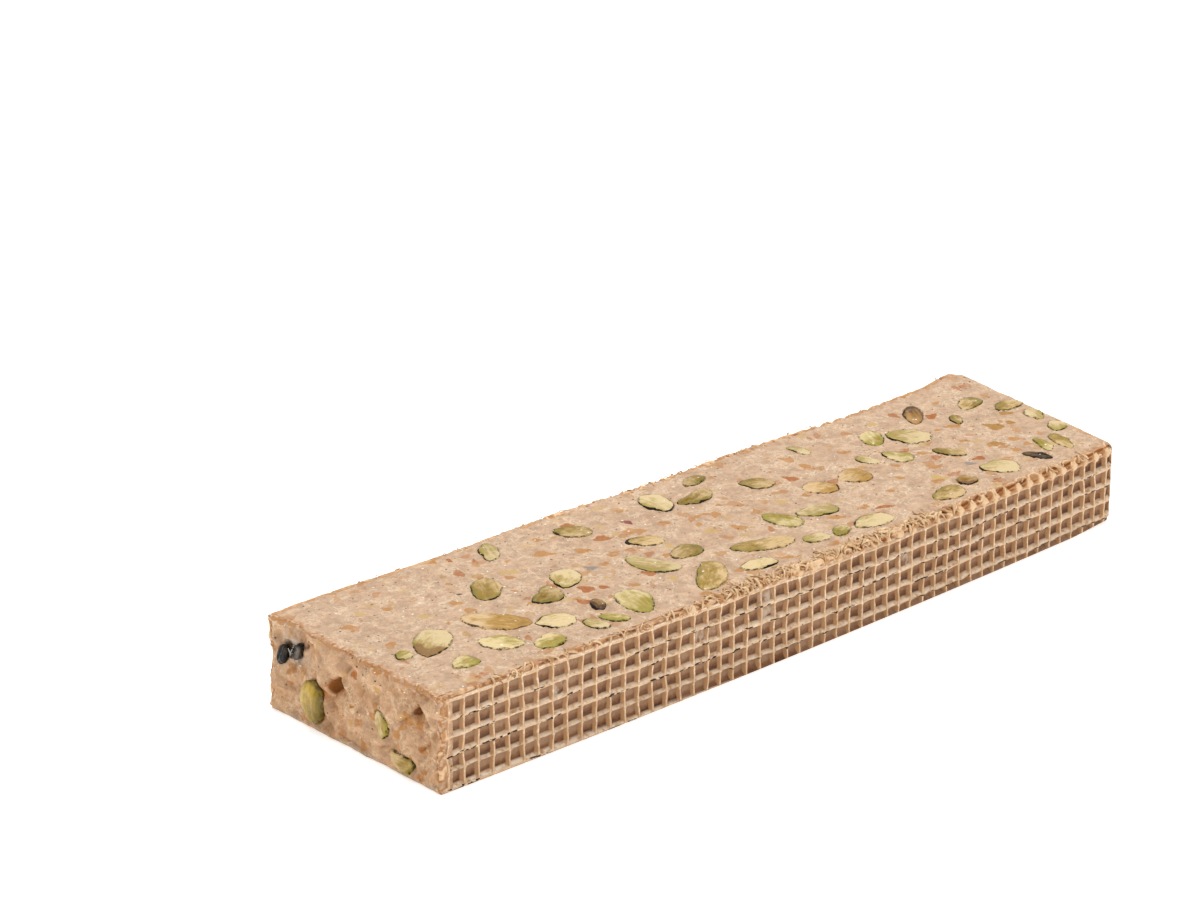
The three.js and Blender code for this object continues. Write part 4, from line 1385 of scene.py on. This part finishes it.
top_edge(0.0, ACROSS, 1.0, 101, "front_crust")
top_edge(WIDTH, -ACROSS, 0.4, 121, "back_crust")
edge_y = np.arange(0.4, WIDTH - 0.4, CRUST_STEP)
near_top = np.stack([0 * edge_y, edge_y, top_z(0 * edge_y)], -1)
short_edge(near_top, DOWN, ALONG, (1.1, 1.0), 0.12, 141, "end_crust")
edge_z = np.arange(0.2, NEAR_HEIGHT - 0.3, CRUST_STEP)
UPRIGHTS = {"front_upright": (0.0, ACROSS), "back_upright": (WIDTH, -ACROSS)}
for upright_name, (upright_y, upright_inwards) in UPRIGHTS.items():
    upright = np.stack([0 * edge_z, 0 * edge_z + upright_y, edge_z], -1)
    short_edge(upright, ALONG, upright_inwards, (1.8, 2.2), 0.6, 151, upright_name)

# %% [markdown]
# ## The broken face
# Nougat breaks in folds, with slits between them and warmer, damper patches. A skin finer than the
# block lies on its near end: the shell of a lattice two points thick, whose outer sheet is pushed
# out by crumpled noise and pressed in along the slits.

# %% Broken face
SKIN_STEP = 0.3
SKIN_THICKNESS = 3.2
FRUITS_AT = (45.6, 15.4)  # y, z in mm
FOLDS = ((0.62, 5.0, 81), (0.28, 2.1, 83), (0.12, 0.9, 87))  # weight, size in mm, seed
SLITS = [  # from y, z to y, z in mm, half width, depth
    (31.2, 14.6, 34.3, 9.6, 1.0, 2.6), (6.5, 17.6, 9.6, 14.2, 0.7, 1.8), (9.8, 13.9, 12.8, 11.2, 0.45, 0.8),
    (39.5, 19.2, 43.2, 16.4, 0.5, 1.0), (15.5, 5.4, 19.2, 3.4, 0.4, 0.7), (24.4, 12.8, 22.6, 15.4, 0.35, 0.6),
    (3.2, 10.2, 6.4, 7.6, 0.35, 0.7), (27.6, 18.2, 29.2, 16.6, 0.35, 0.6),
]


def slit_field(y, z):
    """Depth of the slits: a bell of the distance to each one's segment, wavering a little."""
    place = np.stack([y, z], -1)
    waver = 0.35 * waves(place, 2.2, 91)
    deepest = np.zeros(y.shape)
    for from_y, from_z, to_y, to_z, half, deep in SLITS:
        start, way = np.array([from_y, from_z]), np.array([to_y - from_y, to_z - from_z])
        share = np.clip((place - start) @ way / (way @ way), 0, 1)
        away = np.linalg.norm(place - start - share[..., None] * way, axis=-1)
        thin = 0.35 + 0.65 * np.sin(np.pi * share)
        deepest = np.maximum(deepest, deep * hump(away + waver * half, half * thin))
    return deepest


def torn_skin():
    """Points, quads and fields of the skin. It stands out by its folds and is pressed in at its
    rim, along the slits and under the kernels."""
    y = np.arange(0.25, WIDTH - 0.2, SKIN_STEP)
    z = np.arange(0.25, NEAR_HEIGHT - 0.2, SKIN_STEP)
    (i, j, k), quads = lattice_shell((2, len(y), len(z)))
    sharp = np.stack([i * SKIN_THICKNESS, y[j], z[k]], -1)
    real, halo = plain_surface(sharp)
    folds = sum(share * crumpled(real, size, seed) for share, size, seed in FOLDS)
    slits = slit_field(sharp[:, 1], sharp[:, 2])
    at_rim = rise(from_end_rim(y[j], z[k]), 0.9, 0.0)
    relief = 0.66 * folds + 0.12 - 0.7 * at_rim - slits
    stays, sunk = under_kernels(halo)
    relief = np.minimum(relief, relief * stays) - sunk
    real[:, 0] -= np.where(i == 0, relief, 0)
    whitish = hump(np.hypot(sharp[:, 1] - FRUITS_AT[0], sharp[:, 2] - FRUITS_AT[1]), 3.4)
    # crest sets the painted shade in the folds; it is raised towards the foot, where that shade fades out
    crest = 0.5 + 0.5 * folds + 0.3 * rise(sharp[:, 2], 8, 3)
    return real, quads, {"crest": crest, "slit": slits, "halo": halo, "whitish": whitish}


WHITISH = srgb("b8afa2")
TORN_ORANGE, TORN_BROWN, TORN_WARMTH = srgb("ae7c4a"), srgb("87501e"), (1.12, 1.03, 0.92, 1)


def make_torn_material():
    """Cut nougat with warm patches, painted shade in the low parts of the folds, brown in the slits
    and whitish round the fruits."""
    material, tree, shader = new_material("torn_nougat", {"Specular IOR Level": NOUGAT_GLOSS})
    where = object_place(tree)
    colour, height = cut_colour(tree, where)
    colour = blend(tree, 1.0, colour, TORN_WARMTH, "MULTIPLY")
    warm = patches(tree, where, (5.5, 4, 0.6), 0.5, 0.66, 0.0, 0.45)
    colour = blend(tree, warm, colour, TORN_ORANGE)
    grain = times(tree, noise(tree, where, 0.6, 3), 0.5)
    # painted shade where the folds lie low
    low = step(tree, plus(tree, value_of(tree, "crest"), grain), 0.3, 0.06, 0.0, 0.35)
    colour = blend(tree, low, colour, BAKED_BROWN_AND_SHADE)
    colour = blend(tree, step(tree, value_of(tree, "slit"), 0.3, 1.1, 0.0, 0.95), colour, TORN_BROWN)
    pale = step(tree, noise(tree, stretched(tree, where, (1, 1, 0.4)), 0.9, 3), 0.4, 0.56, 0.1, 0.9)
    colour = blend(tree, times(tree, value_of(tree, "whitish"), pale), colour, WHITISH)
    roughness = patches(tree, where, (1.2, 4), 0.3, 0.7, 0.32, 0.6)
    finish_material(tree, shader, colour, roughness, height, 0.2)
    return material


def make_torn_face():
    points, quads, fields = torn_skin()
    faces = outwards(points, quads.tolist())
    face = make_piece("torn_face", points, faces, make_torn_material())
    inside, tint = chip_fields(points)
    paint(face, **fields, chip=inside, chip_tint=tint)
    print("torn face quads:", len(faces))


make_torn_face()

# %% [markdown]
# ## Kernels
# A kernel is a nut sliced by the saw: a nearly flat cut face with a rounded rim, flush with the
# nougat, and a belly below that nobody sees. Rings from the middle of the cut out to the outline
# and down round the belly make one closed surface, and the middle and the bottom are poles.

# %% Kernel looks
# How creamy and how light the cut is, how wide its shred of dark skin is in mm and on which side,
# in degrees seen from above with 0 along the bar, how bruised the flesh beside that shred is, and
# how deep a crease runs along it. A kernel that isn't named has the usual looks of its kind.
USUAL = {  # kind: cream, light, skin, bruise, crease
    "kernel_green": (0.35, 0.95, 0.15, 0.1, 0.1), "kernel_pale": (0.7, 1, 0.2, 0.1, 0.15),
    "kernel_olive": (0.35, 0.93, 0.2, 0.2, 0.2), "kernel_tan": (0.4, 1, 0, 0.2, 0.1),
    "kernel_dark": (0.1, 0.9, 0.6, 0.6, 0.2), "fruit_dark": (0.1, 1, 0, 0, 0.5),
}
LOOKS = {  # kernel: cream, light, skin, towards, bruise, crease
    1: (0.35, 0.95, 0.25, 138, 0.1, 0.1), 2: (0.6, 1.02, 0.3, 215, 1, 0.15),
    3: (0.45, 1, 0.05, 0, 0, 0.05), 4: (0.35, 1, 0, 0, 0.1, 0.1), 5: (0.95, 1.05, 0.2, 60, 0, 0.3),
    6: (0.5, 1.02, 0.12, -42, 0, 0.1), 7: (0.95, 1.08, 0.35, 138, 0, 0.25),
    8: (0.35, 0.95, 0.3, 205, 0.1, 0.9), 9: (0.3, 0.85, 0.4, 228, 0.2, 0.9),
    10: (0.7, 1, 0.35, 138, 0, 0.2), 11: (0.3, 1, 0.1, 228, 0, 0.1),
    12: (0.45, 0.95, 0.45, 138, 0.1, 0.1), 13: (0.3, 0.9, 0.25, 100, 0.2, 0.2),
    14: (0.75, 1.05, 0.3, 228, 0, 0.15), 15: (0.6, 1, 0.6, 138, 0, 0),
    16: (0.6, 0.95, 0.15, 228, 0, 0.15), 17: (0.35, 0.88, 0.15, 20, 0.1, 0.15),
    18: (0.5, 1, 0.12, -42, 0, 0.15), 19: (0.4, 1.03, 0.1, 160, 0, 0.7),
    20: (0.85, 1.05, 0.55, 228, 0, 0.1), 21: (1.1, 1.08, 0.3, -20, 0, 0.5),
    22: (0.6, 0.98, 0.12, 180, 0.1, 0.5), 23: (0.1, 0.9, 0.6, 228, 0.7, 0.3),
    24: (0.3, 0.88, 0.45, 228, 0.4, 1), 25: (0.3, 0.85, 0.05, 0, 0.1, 0.1),
    26: (0.35, 0.9, 0.4, 138, 0.1, 0.1), 27: (0.3, 0.97, 0.12, 100, 0, 0.25),
    28: (0.45, 0.95, 0.22, -60, 0.1, 0.35), 29: (0.45, 1.02, 0.4, -10, 0.4, 0.15),
    30: (0.4, 0.97, 0.1, 0, 0.3, 0.1), 31: (0.65, 1, 0.1, 180, 0, 0.3),
    32: (0.25, 0.9, 0.1, 228, 0.1, 0.1), 33: (1, 1.04, 0.4, 138, 0, 0.3),
    34: (0.5, 0.97, 0.2, 138, 0, 0.15), 36: (0.45, 1, 0.3, -42, 0, 0.1),
    37: (0.5, 0.95, 0.3, 60, 0.2, 0.4), 38: (0.6, 1, 0.2, 160, 0, 0.1),
    39: (0.25, 1.05, 0.55, 80, 0.2, 0.2), 40: (0.3, 0.9, 0.4, 150, 0.5, 0.4),
    41: (0.5, 0.95, 0.35, 20, 0.1, 0.5), 42: (0.45, 0.95, 0.12, 180, 0, 0.15),
    43: (0.65, 1, 0.05, 0, 0.1, 0.5), 45: (0.35, 0.9, 0.35, 180, 0.2, 0.3),
    46: (0.95, 1.02, 0.25, 138, 0, 0.1), 47: (0.2, 1, 0.1, 138, 0, 0.2),
    48: (0.35, 1, 0.2, 48, 0.1, 0.4), 49: (0, 0.35, 2, 0, 1, 0.5),
    50: (0.1, 0.75, 0.3, 228, 1, 0.3),
}
END_LOOKS = {
    1: (0.75, 1.05, 0, 0, 0.3, 0.3), 2: (0.3, 1, 0, 0, 0, 0), 3: (0.7, 1.1, 0, 0, 0, 0.9),
}
FACE_RINGS = np.array([0.1, 0.22, 0.34, 0.46, 0.57, 0.67, 0.76, 0.83, 0.89, 0.94, 0.975])
BELLY = [(1.025, -0.1), (1.04, -0.4), (0.95, -1.0), (0.72, -1.6)]  # share of the outline, height
DOME = {"top": 0.16, "end": 0.45}
STANDS_OUT = {"end_kernel_02": 1.3}
RAGGED = 0.24


def looks_of(name):
    """The six values of a kernel; the dark side of an unnamed one is drawn from its number."""
    number = int(name[-2:])
    named = (END_LOOKS if name.startswith("end") else LOOKS).get(number)
    cream, light, skin, bruise, crease = USUAL[slot_of[name]]
    return named or (cream, light, skin, 137 * number % 360, bruise, crease)


# %% Kernel surface
def kernel_surface(name, crease, seed):
    """Rings at shares s of the ragged outline round its middle. The cut face is a dome of height
    dome * (1 - s^6) with flat facets, less the crease along its length; then comes the belly."""
    curve, normal, _, second = outlines[name]
    middle = curve.mean(0)
    spokes = curve - middle
    reach = np.linalg.norm(spokes, axis=-1)
    ragged = RAGGED * (waves(curve, 3.4, seed) + 0.6 * waves(curve, 1.3, seed + 1))
    spokes = spokes * (1 + ragged / reach)[:, None]
    half_width = np.abs(spokes @ second).max()
    dome = STANDS_OUT.get(name, DOME["end" if name.startswith("end") else "top"])
    shares = np.concatenate([[0.001], FACE_RINGS, [share for share, _ in BELLY], [0.001]])
    face = len(FACE_RINGS) + 1
    points = middle + shares[:, None, None] * spokes
    across = (points - middle) @ second / half_width
    groove = crease * 0.4 * hump(across + 0.12 * waves(points, 5, seed), 0.15)
    facets = 0.16 * np.abs(waves(points, 6, seed + 2)) + 0.045 * waves(points, 1.6, seed + 3)
    height = dome * (1 - shares[:, None] ** 6) + 0.03 + (facets - groove) * (1 - shares[:, None] ** 8)
    low = np.array([deep for _, deep in BELLY] + [-1.9]) * min(1.0, half_width / 2.4)
    height[face:] = low[:, None]
    return points + height[..., None] * normal, shares, face, reach


def kernel_fields(name, points, shares, face, reach, looks):
    """For each ring point: mm in from the outline, mm of skin there, cream, light, bruise, and mm
    along and across. The skin's width is its usual one times 0.3 + 0.9 cos of the angle between
    the spoke and its side. The cream leans to one side, by 0.7 cos of an angle turned by 150."""
    curve, normal, first, second = outlines[name]
    cream, light, skin, towards, bruise, _ = looks
    off = points - curve.mean(0)
    in_top = normal[2] > 0.5
    right, up = (off[..., 0], off[..., 1]) if in_top else (-off[..., 1], off[..., 2])
    angle = np.arctan2(up, right)
    toward = np.cos(angle - np.radians(towards))
    inside = (1 - shares)[:, None] * reach
    inside[face:] = 0
    lean = np.cos(angle - np.radians(towards + 150)) * shares[:, None]
    grain = np.stack([off @ first, off @ second, 0 * toward, 1 + 0 * toward], -1)
    return {
        "inside": inside,
        "skin": np.maximum(skin * (0.3 + 0.9 * toward), 0),
        "cream": cream + 0.7 * lean,
        "light": light + 0 * toward,
        "bruise": bruise * rise(toward * shares[:, None], -0.1, 0.75),
        "grain": grain,
    }


def with_poles(field):
    """Turn rings into a list whose first and last entries are the means of the end rings."""
    inner = field[1:-1].reshape(-1, *field.shape[2:])
    return np.concatenate([[field[0].mean(0)], inner, [field[-1].mean(0)]])


def make_kernel(name, material):
    looks = looks_of(name)
    seed = int(name[-2:]) + (300 if name.startswith("end") else 200)
    points, shares, face, reach = kernel_surface(name, looks[-1], seed)
    fields = kernel_fields(name, points, shares, face, reach, looks)
    faces = ring_quads(len(shares) - 2, CURVE_POINTS)
    piece = make_piece("cut_" + name, with_poles(points), faces, material, [name])
    paint(piece, **{key: with_poles(field) for key, field in fields.items()})


# %% [markdown]
# ## Kernel finishes
# Pistachio flesh is cream to yellow-green, streaked along its length and greener towards its rim.
# Its dark skin shows as a broken fine line round it, and as a wider shred on one side. One group
# makes all of this from six colours, and each kind of kernel fills in its own.

# %% Kernel group
KERNEL_LABELS = ("Rim", "Flesh", "Cream", "Shade", "Skin", "Bruise")


def kernel_streaks(group, where):
    """Noise drawn out along the kernel, by the kernel's own places along and across."""
    grain = stretched(group, colour_of(group, "grain"), (0.25 * MM, 1.1 * MM, MM))
    shift = stretched(group, where, (0.3, 0.3, 0.3))
    grain = add(group, "VectorMath", {0: grain, 1: shift}, operation="ADD").outputs[0]
    return noise(group, grain, 1.0, 4, 0.6, 0.3)


def flesh_colour(group, inp, streak, cloud, edge):
    """Flesh, cream or shade, by the kernel's creaminess + 2.6 streak + 2 cloud - 2.25; then the
    rim's colour near the outline, the kernel's lightness and its bruise."""
    mixed = plus(group, times(group, streak, 2.6), times(group, cloud, 2.0))
    share = plus(group, value_of(group, "cream"), minus(group, mixed, 2.25))
    colour = blend(group, step(group, share, 0.1, 1.2), inp["Flesh"], inp["Cream"])
    colour = blend(group, step(group, share, 0.15, -0.4, 0.0, 0.85), colour, inp["Shade"])
    from_rim = plus(group, edge, minus(group, value_of(group, "cream"), 0.35))
    colour = blend(group, step(group, from_rim, 0.95, 0.05, 0.0, 0.65), colour, inp["Rim"])
    colour = shaded(group, colour, value_of(group, "light"))
    bruised = step(group, times(group, value_of(group, "bruise"), cloud), 0.2, 0.42, 0.0, 0.85)
    return blend(group, bruised, colour, inp["Bruise"])


def make_kernel_group():
    """Flesh with a broken dark outline, where a noise is high, and with a shred of skin, where
    the distance from the outline is less than the skin's width there."""
    colours = [(label, "Color", (1, 1, 1, 1)) for label in KERNEL_LABELS]
    outputs = [("Color", "Color"), ("Height", "Float"), ("Dark", "Float")]
    group, inp, out = shader_group("cut_kernel", [POSITION, *colours], outputs)
    where = inp["Position"]
    streak = kernel_streaks(group, where)
    cloud = noise(group, where, 2.8, 3, 0.55)
    ragged = noise(group, where, 0.8, 3, 0.6)
    wander = times(group, minus(group, ragged, 0.5), 0.5)
    inside = value_of(group, "inside")
    colour = flesh_colour(group, inp, streak, cloud, plus(group, inside, wander))
    line = step(group, inside, 0.32, 0.12, 0.0, 0.85)
    outline = times(group, line, step(group, ragged, 0.44, 0.56))
    colour = blend(group, outline, colour, inp["Skin"])
    skin = value_of(group, "skin")
    width = times(group, skin, step(group, cloud, 0.36, 0.62, 0.2, 1.1))
    dark = step(group, minus(group, width, inside), 0.02, 0.1)
    group.links.new(blend(group, dark, colour, inp["Skin"]), out["Color"])
    group.links.new(streak, out["Height"])
    group.links.new(dark, out["Dark"])
    return group


KERNEL_GROUP = make_kernel_group()
KERNEL_COLOURS = {  # rim, flesh, cream, shade, skin, bruise
    "kernel_green": ("858028", "948138", "c6b182", "83691c", "1e130a", "6d5226"),
    "kernel_pale": ("8e8432", "9b844a", "c1ab80", "8f7232", "1e130a", "7a552c"),
    "kernel_olive": ("7b7020", "8f7330", "bfa273", "74571a", "1e130a", "5c4018"),
    "kernel_tan": ("a07a38", "a17b3a", "c3a57b", "8c6429", "33200f", "6b4426"),
    "kernel_dark": ("3e2a12", "825c24", "9c7846", "4e3010", "281a10", "664428"),
    "fruit_dark": ("120b07", "120b06", "6e6154", "120b07", "0a0604", "1a120c"),
    "end_kernel_02": ("665808", "947618", "ba9a3a", "6c5408", "54400e", "5c4018"),
}


KERNEL_GLOSS, END_KERNEL_GLOSS = 0.12, 0.4
# Painted glints: small white highlights on the kernels.
PAINTED_GLINTS = {"Spacing": 2.4, "Radius": 0.25, "Kept": 0.32, "Ragged": 0.15}


def make_kernel_material(slot):
    """The group's colours for one kind, painted glints of highlight on it, and a duller skin."""
    gloss = END_KERNEL_GLOSS if slot.startswith("end") else KERNEL_GLOSS
    material, tree, shader = new_material("cut_" + slot, {"Specular IOR Level": gloss})
    where = object_place(tree)
    inputs = {label: srgb(code) for label, code in zip(KERNEL_LABELS, KERNEL_COLOURS[slot])}
    kernel = place_group(tree, KERNEL_GROUP, {"Position": where, **inputs})
    # painted glints, small white highlights, on all but the dark fruits
    painted_glint = place_group(tree, SPECKS, {"Position": where, **PAINTED_GLINTS})[0]
    painted_glint = times(tree, painted_glint, 0.9 * (slot != "fruit_dark"))
    colour = blend(tree, painted_glint, kernel[0], PAINTED_GLINT_WHITE)
    roughness = patches(tree, where, (1.3,), 0.35, 0.65, 0.14, 0.45)
    roughness = plus(tree, roughness, times(tree, kernel[2], 0.4))
    finish_material(tree, shader, colour, roughness, kernel[1], 0.14)
    return material


kernel_materials = {slot: make_kernel_material(slot) for slot in KERNEL_COLOURS}
for kernel_name in kernel_names:
    look_name = kernel_name if kernel_name in kernel_materials else slot_of[kernel_name]
    make_kernel(kernel_name, kernel_materials[look_name])
print("kernel pieces:", len(kernel_names))

# %% [markdown]
# ## Crumbs and curls
# The saw drags the soft nougat over the top edges and leaves crumbs and thin curled shreds. Each
# shred is a short flattened tube along a bent path. Hundreds of them are one array: the paths of
# all shreds at once, then a ring of points round every path point, then the quads by numbering.

# %% Strands
STRAND_SIDES = 6
STRAND_STEPS = 9
TIP = 0.6  # a shred's tip stands out from its last ring by this share of its half width


def strand_mesh(paths, across, widths, thickness):
    """Closed tubes along paths, an array of shreds by steps by 3. At each step a ring of points
    lies at cos(a) * width across and sin(a) * thickness * width along the normal; both fall
    to a point at the ends, which are poles."""
    count, steps = paths.shape[:2]
    forward = unit(np.gradient(paths, axis=1))
    side = unit(across[:, None] - (across[:, None] * forward).sum(-1, keepdims=True) * forward)
    normal = np.cross(forward, side)
    taper = np.sin(np.pi * np.linspace(0.12, 0.88, steps)) ** 0.6
    size = widths[:, None] * taper
    angle = 2 * np.pi * np.arange(STRAND_SIDES) / STRAND_SIDES
    ring = side[:, :, None] * np.cos(angle)[:, None]
    ring = ring + thickness * normal[:, :, None] * np.sin(angle)[:, None]
    tube = paths[:, :, None] + size[..., None, None] * ring
    ends = [0, -1]
    tips = paths[:, ends] + forward[:, ends] * size[:, ends, None] * np.array([-TIP, TIP])[:, None]
    points = np.concatenate([tips[:, :1], tube.reshape(count, -1, 3), tips[:, 1:]], axis=1)
    return points.reshape(-1, 3), strand_faces(count, steps), points.shape[1]


def strand_faces(count, steps):
    one = ring_quads(steps, STRAND_SIDES)
    quads = np.array([face for face in one if len(face) == 4])
    fans = np.array([face for face in one if len(face) == 3])
    per_strand = steps * STRAND_SIDES + 2
    base = per_strand * np.arange(count)[:, None, None]
    return (base + quads).reshape(-1, 4).tolist() + (base + fans).reshape(-1, 3).tolist()


def arcs(places, first, second, length, radius):
    """Paths of shreds: arcs of a circle in the plane of two directions, with their middles at the
    places: place + radius * (first * sin(a) + second * (cos(a) - 1)), where a runs through
    length / radius, half of it on either side of 0."""
    angle = (length / radius)[:, None] * np.linspace(-0.5, 0.5, STRAND_STEPS)
    bow = first[:, None] * np.sin(angle)[..., None] + second[:, None] * (np.cos(angle) - 1)[..., None]
    return places[:, None] + radius[:, None, None] * bow


print("points in a shred:", STRAND_STEPS * STRAND_SIDES + 2)

# %% [markdown]
# ## Shred finish
# The shreds are thinner than the block, so light shines through them and they look paler and more
# orange at once. Each one draws its own tone between cream and baked tan.

# %% Shred finish
def make_shred_material(name, light, dark, baked_tone):
    material, tree, shader = new_material(name, {"Specular IOR Level": NOUGAT_GLOSS})
    where = object_place(tree)
    mottled = place_group(tree, MOTTLED, {"Position": where, "Light": srgb(light), "Dark": srgb(dark)})
    colour = blend(tree, value_of(tree, "baked"), mottled[0], srgb(baked_tone))
    roughness = patches(tree, where, (0.9,), 0.3, 0.7, 0.25, 0.55)
    finish_material(tree, shader, colour, roughness, mottled[1], 0.06)
    return material


def make_shreds(name, random, places, out, sizes, material):
    """Shreds at places on a surface: half stand on it as arches, half lie on it as hooks."""
    count = len(places)
    (short, long), (tight, wide), (thin, thick), sunk = sizes
    first = unit(np.cross(unit(out), random.normal(size=(count, 3))))
    aside = np.cross(first, unit(out))
    arched = random.random(count)[:, None] < 0.5
    second = unit(np.where(arched, out, aside) + 0.35 * random.normal(size=(count, 3)))
    second = unit(second - (second * first).sum(-1, keepdims=True) * first)
    length, radius = random.uniform(short, long, count), random.uniform(tight, wide, count)
    lift = random.uniform(-sunk, sunk, count)[:, None] + 0.35 * radius[:, None] * arched
    paths = arcs(places + lift * unit(out), first, second, length, radius)
    widths = random.uniform(thin, thick, count)
    points, faces, per_strand = strand_mesh(paths, np.cross(first, second), widths, 0.6)
    shreds = make_piece(name, points, outwards(points, faces), material)
    paint(shreds, baked=np.repeat(random.beta(0.6, 2.6, count), per_strand))
    print(name, count)


NOUGAT_SHREDS = make_shred_material("nougat_shreds", "dcc09a", "c09a70", "96602c")
PALE_FIBRES = make_shred_material("pale_fibres", "b9b4aa", "9a948c", "86796a")

# %% Shreds on the edges
FRONT_SHREDS, BACK_SHREDS, END_SHREDS, UPRIGHT_SHREDS = 330, 90, 24, 40
MANY_FROM, MANY_UNTIL, NONE_UNTIL = (58, 82), (128, 150), (8, 16)  # mm along the bar
EDGE_SIZES = ((1.6, 4.2), (0.7, 2.0), (0.16, 0.36), 0.1)  # lengths, radii, half widths, sinking
SMALL_SIZES = ((0.6, 1.6), (0.35, 0.9), (0.1, 0.2), 0.12)


def edge_places(random, count, back):
    """Along a long top edge: none at the near corner, few on the thin lip, most where the edge is
    twisted, and few again on the beads."""
    x = random.uniform(1.5, LENGTH - 2.5, 4 * count)
    likely = (0.15 + 0.85 * rise(x, *MANY_FROM)) * (1 - 0.9 * rise(x, *MANY_UNTIL))
    likely = likely * rise(x, *NONE_UNTIL)
    x = x[random.random(4 * count) < likely][:count]
    band = 0.6 + 1.5 * rise(x, *MANY_FROM)
    inset = np.abs(random.normal(0.35, 0.45, len(x))) * band
    drop = np.maximum(0.5 - inset, 0) * random.uniform(0, 1.8, len(x))
    points = bent(np.stack([x, WIDTH - inset if back else inset, top_z(x) - drop], -1))
    tilt = np.where(inset < 0.5, 0.7, 0.15) * (1 if back else -1)
    return points, np.stack([0 * x, tilt, 1 + 0 * x], -1)


def end_places(random, count):
    """Along the top edge of the broken end."""
    y, z = random.uniform(1, WIDTH - 1, count), top_z(0) - np.abs(random.normal(0, 0.4, count))
    x = NEAR_SLANT * y + np.abs(random.normal(0.2, 0.6, count)) - 0.9 * torn_relief(y, z)
    return np.stack([x, y, z], -1), np.tile((-0.6, 0.0, 1.0), (count, 1))


def upright_places(random, count):
    """Along the upright edges between the broken end and the two sides."""
    z = random.uniform(1.0, NEAR_HEIGHT - 1, count)
    back = random.random(count) < 0.4
    along, inset = np.abs(random.normal(0, 0.8, (2, count)))
    y = np.where(back, WIDTH - inset, inset)
    x = along - torn_relief(y, z) * np.clip(1 - along / 3, 0, 1)
    return np.stack([x, y, z], -1), np.stack([0 * z - 0.8, np.where(back, 0.5, -0.5), 0 * z], -1)


shred_random = np.random.default_rng(31)
front_places = edge_places(shred_random, FRONT_SHREDS, False)
back_places = edge_places(shred_random, BACK_SHREDS, True)
make_shreds("front_shreds", shred_random, *front_places, EDGE_SIZES, NOUGAT_SHREDS)
make_shreds("back_shreds", shred_random, *back_places, SMALL_SIZES, NOUGAT_SHREDS)
top_places = end_places(shred_random, END_SHREDS)
make_shreds("end_shreds", shred_random, *top_places, SMALL_SIZES, NOUGAT_SHREDS)
upright_spots = upright_places(shred_random, UPRIGHT_SHREDS)
make_shreds("upright_shreds", shred_random, *upright_spots, SMALL_SIZES, NOUGAT_SHREDS)

# %% Fibres on the broken face
FIBRES = 13
FIBRE_SIZES = ((1.2, 2.6), (2.0, 5.0), (0.14, 0.28), 0.2)
FIBRE_SPREAD = (0.5, 1.4)  # y, z in mm
FIBRES_OUT = 0.5  # mm in front of the broken face


def face_places(y, z, out):
    x = NEAR_SLANT * y - torn_relief(y, z) - out
    return np.stack([x, y, z], -1), np.tile((-1.0, 0, 0), (len(y), 1))


fibre_y = shred_random.normal(FRUITS_AT[0], FIBRE_SPREAD[0], FIBRES)
fibre_z = shred_random.normal(FRUITS_AT[1], FIBRE_SPREAD[1], FIBRES)
fibre_places = face_places(fibre_y, fibre_z, FIBRES_OUT)
make_shreds("end_fibres", shred_random, *fibre_places, FIBRE_SIZES, PALE_FIBRES)
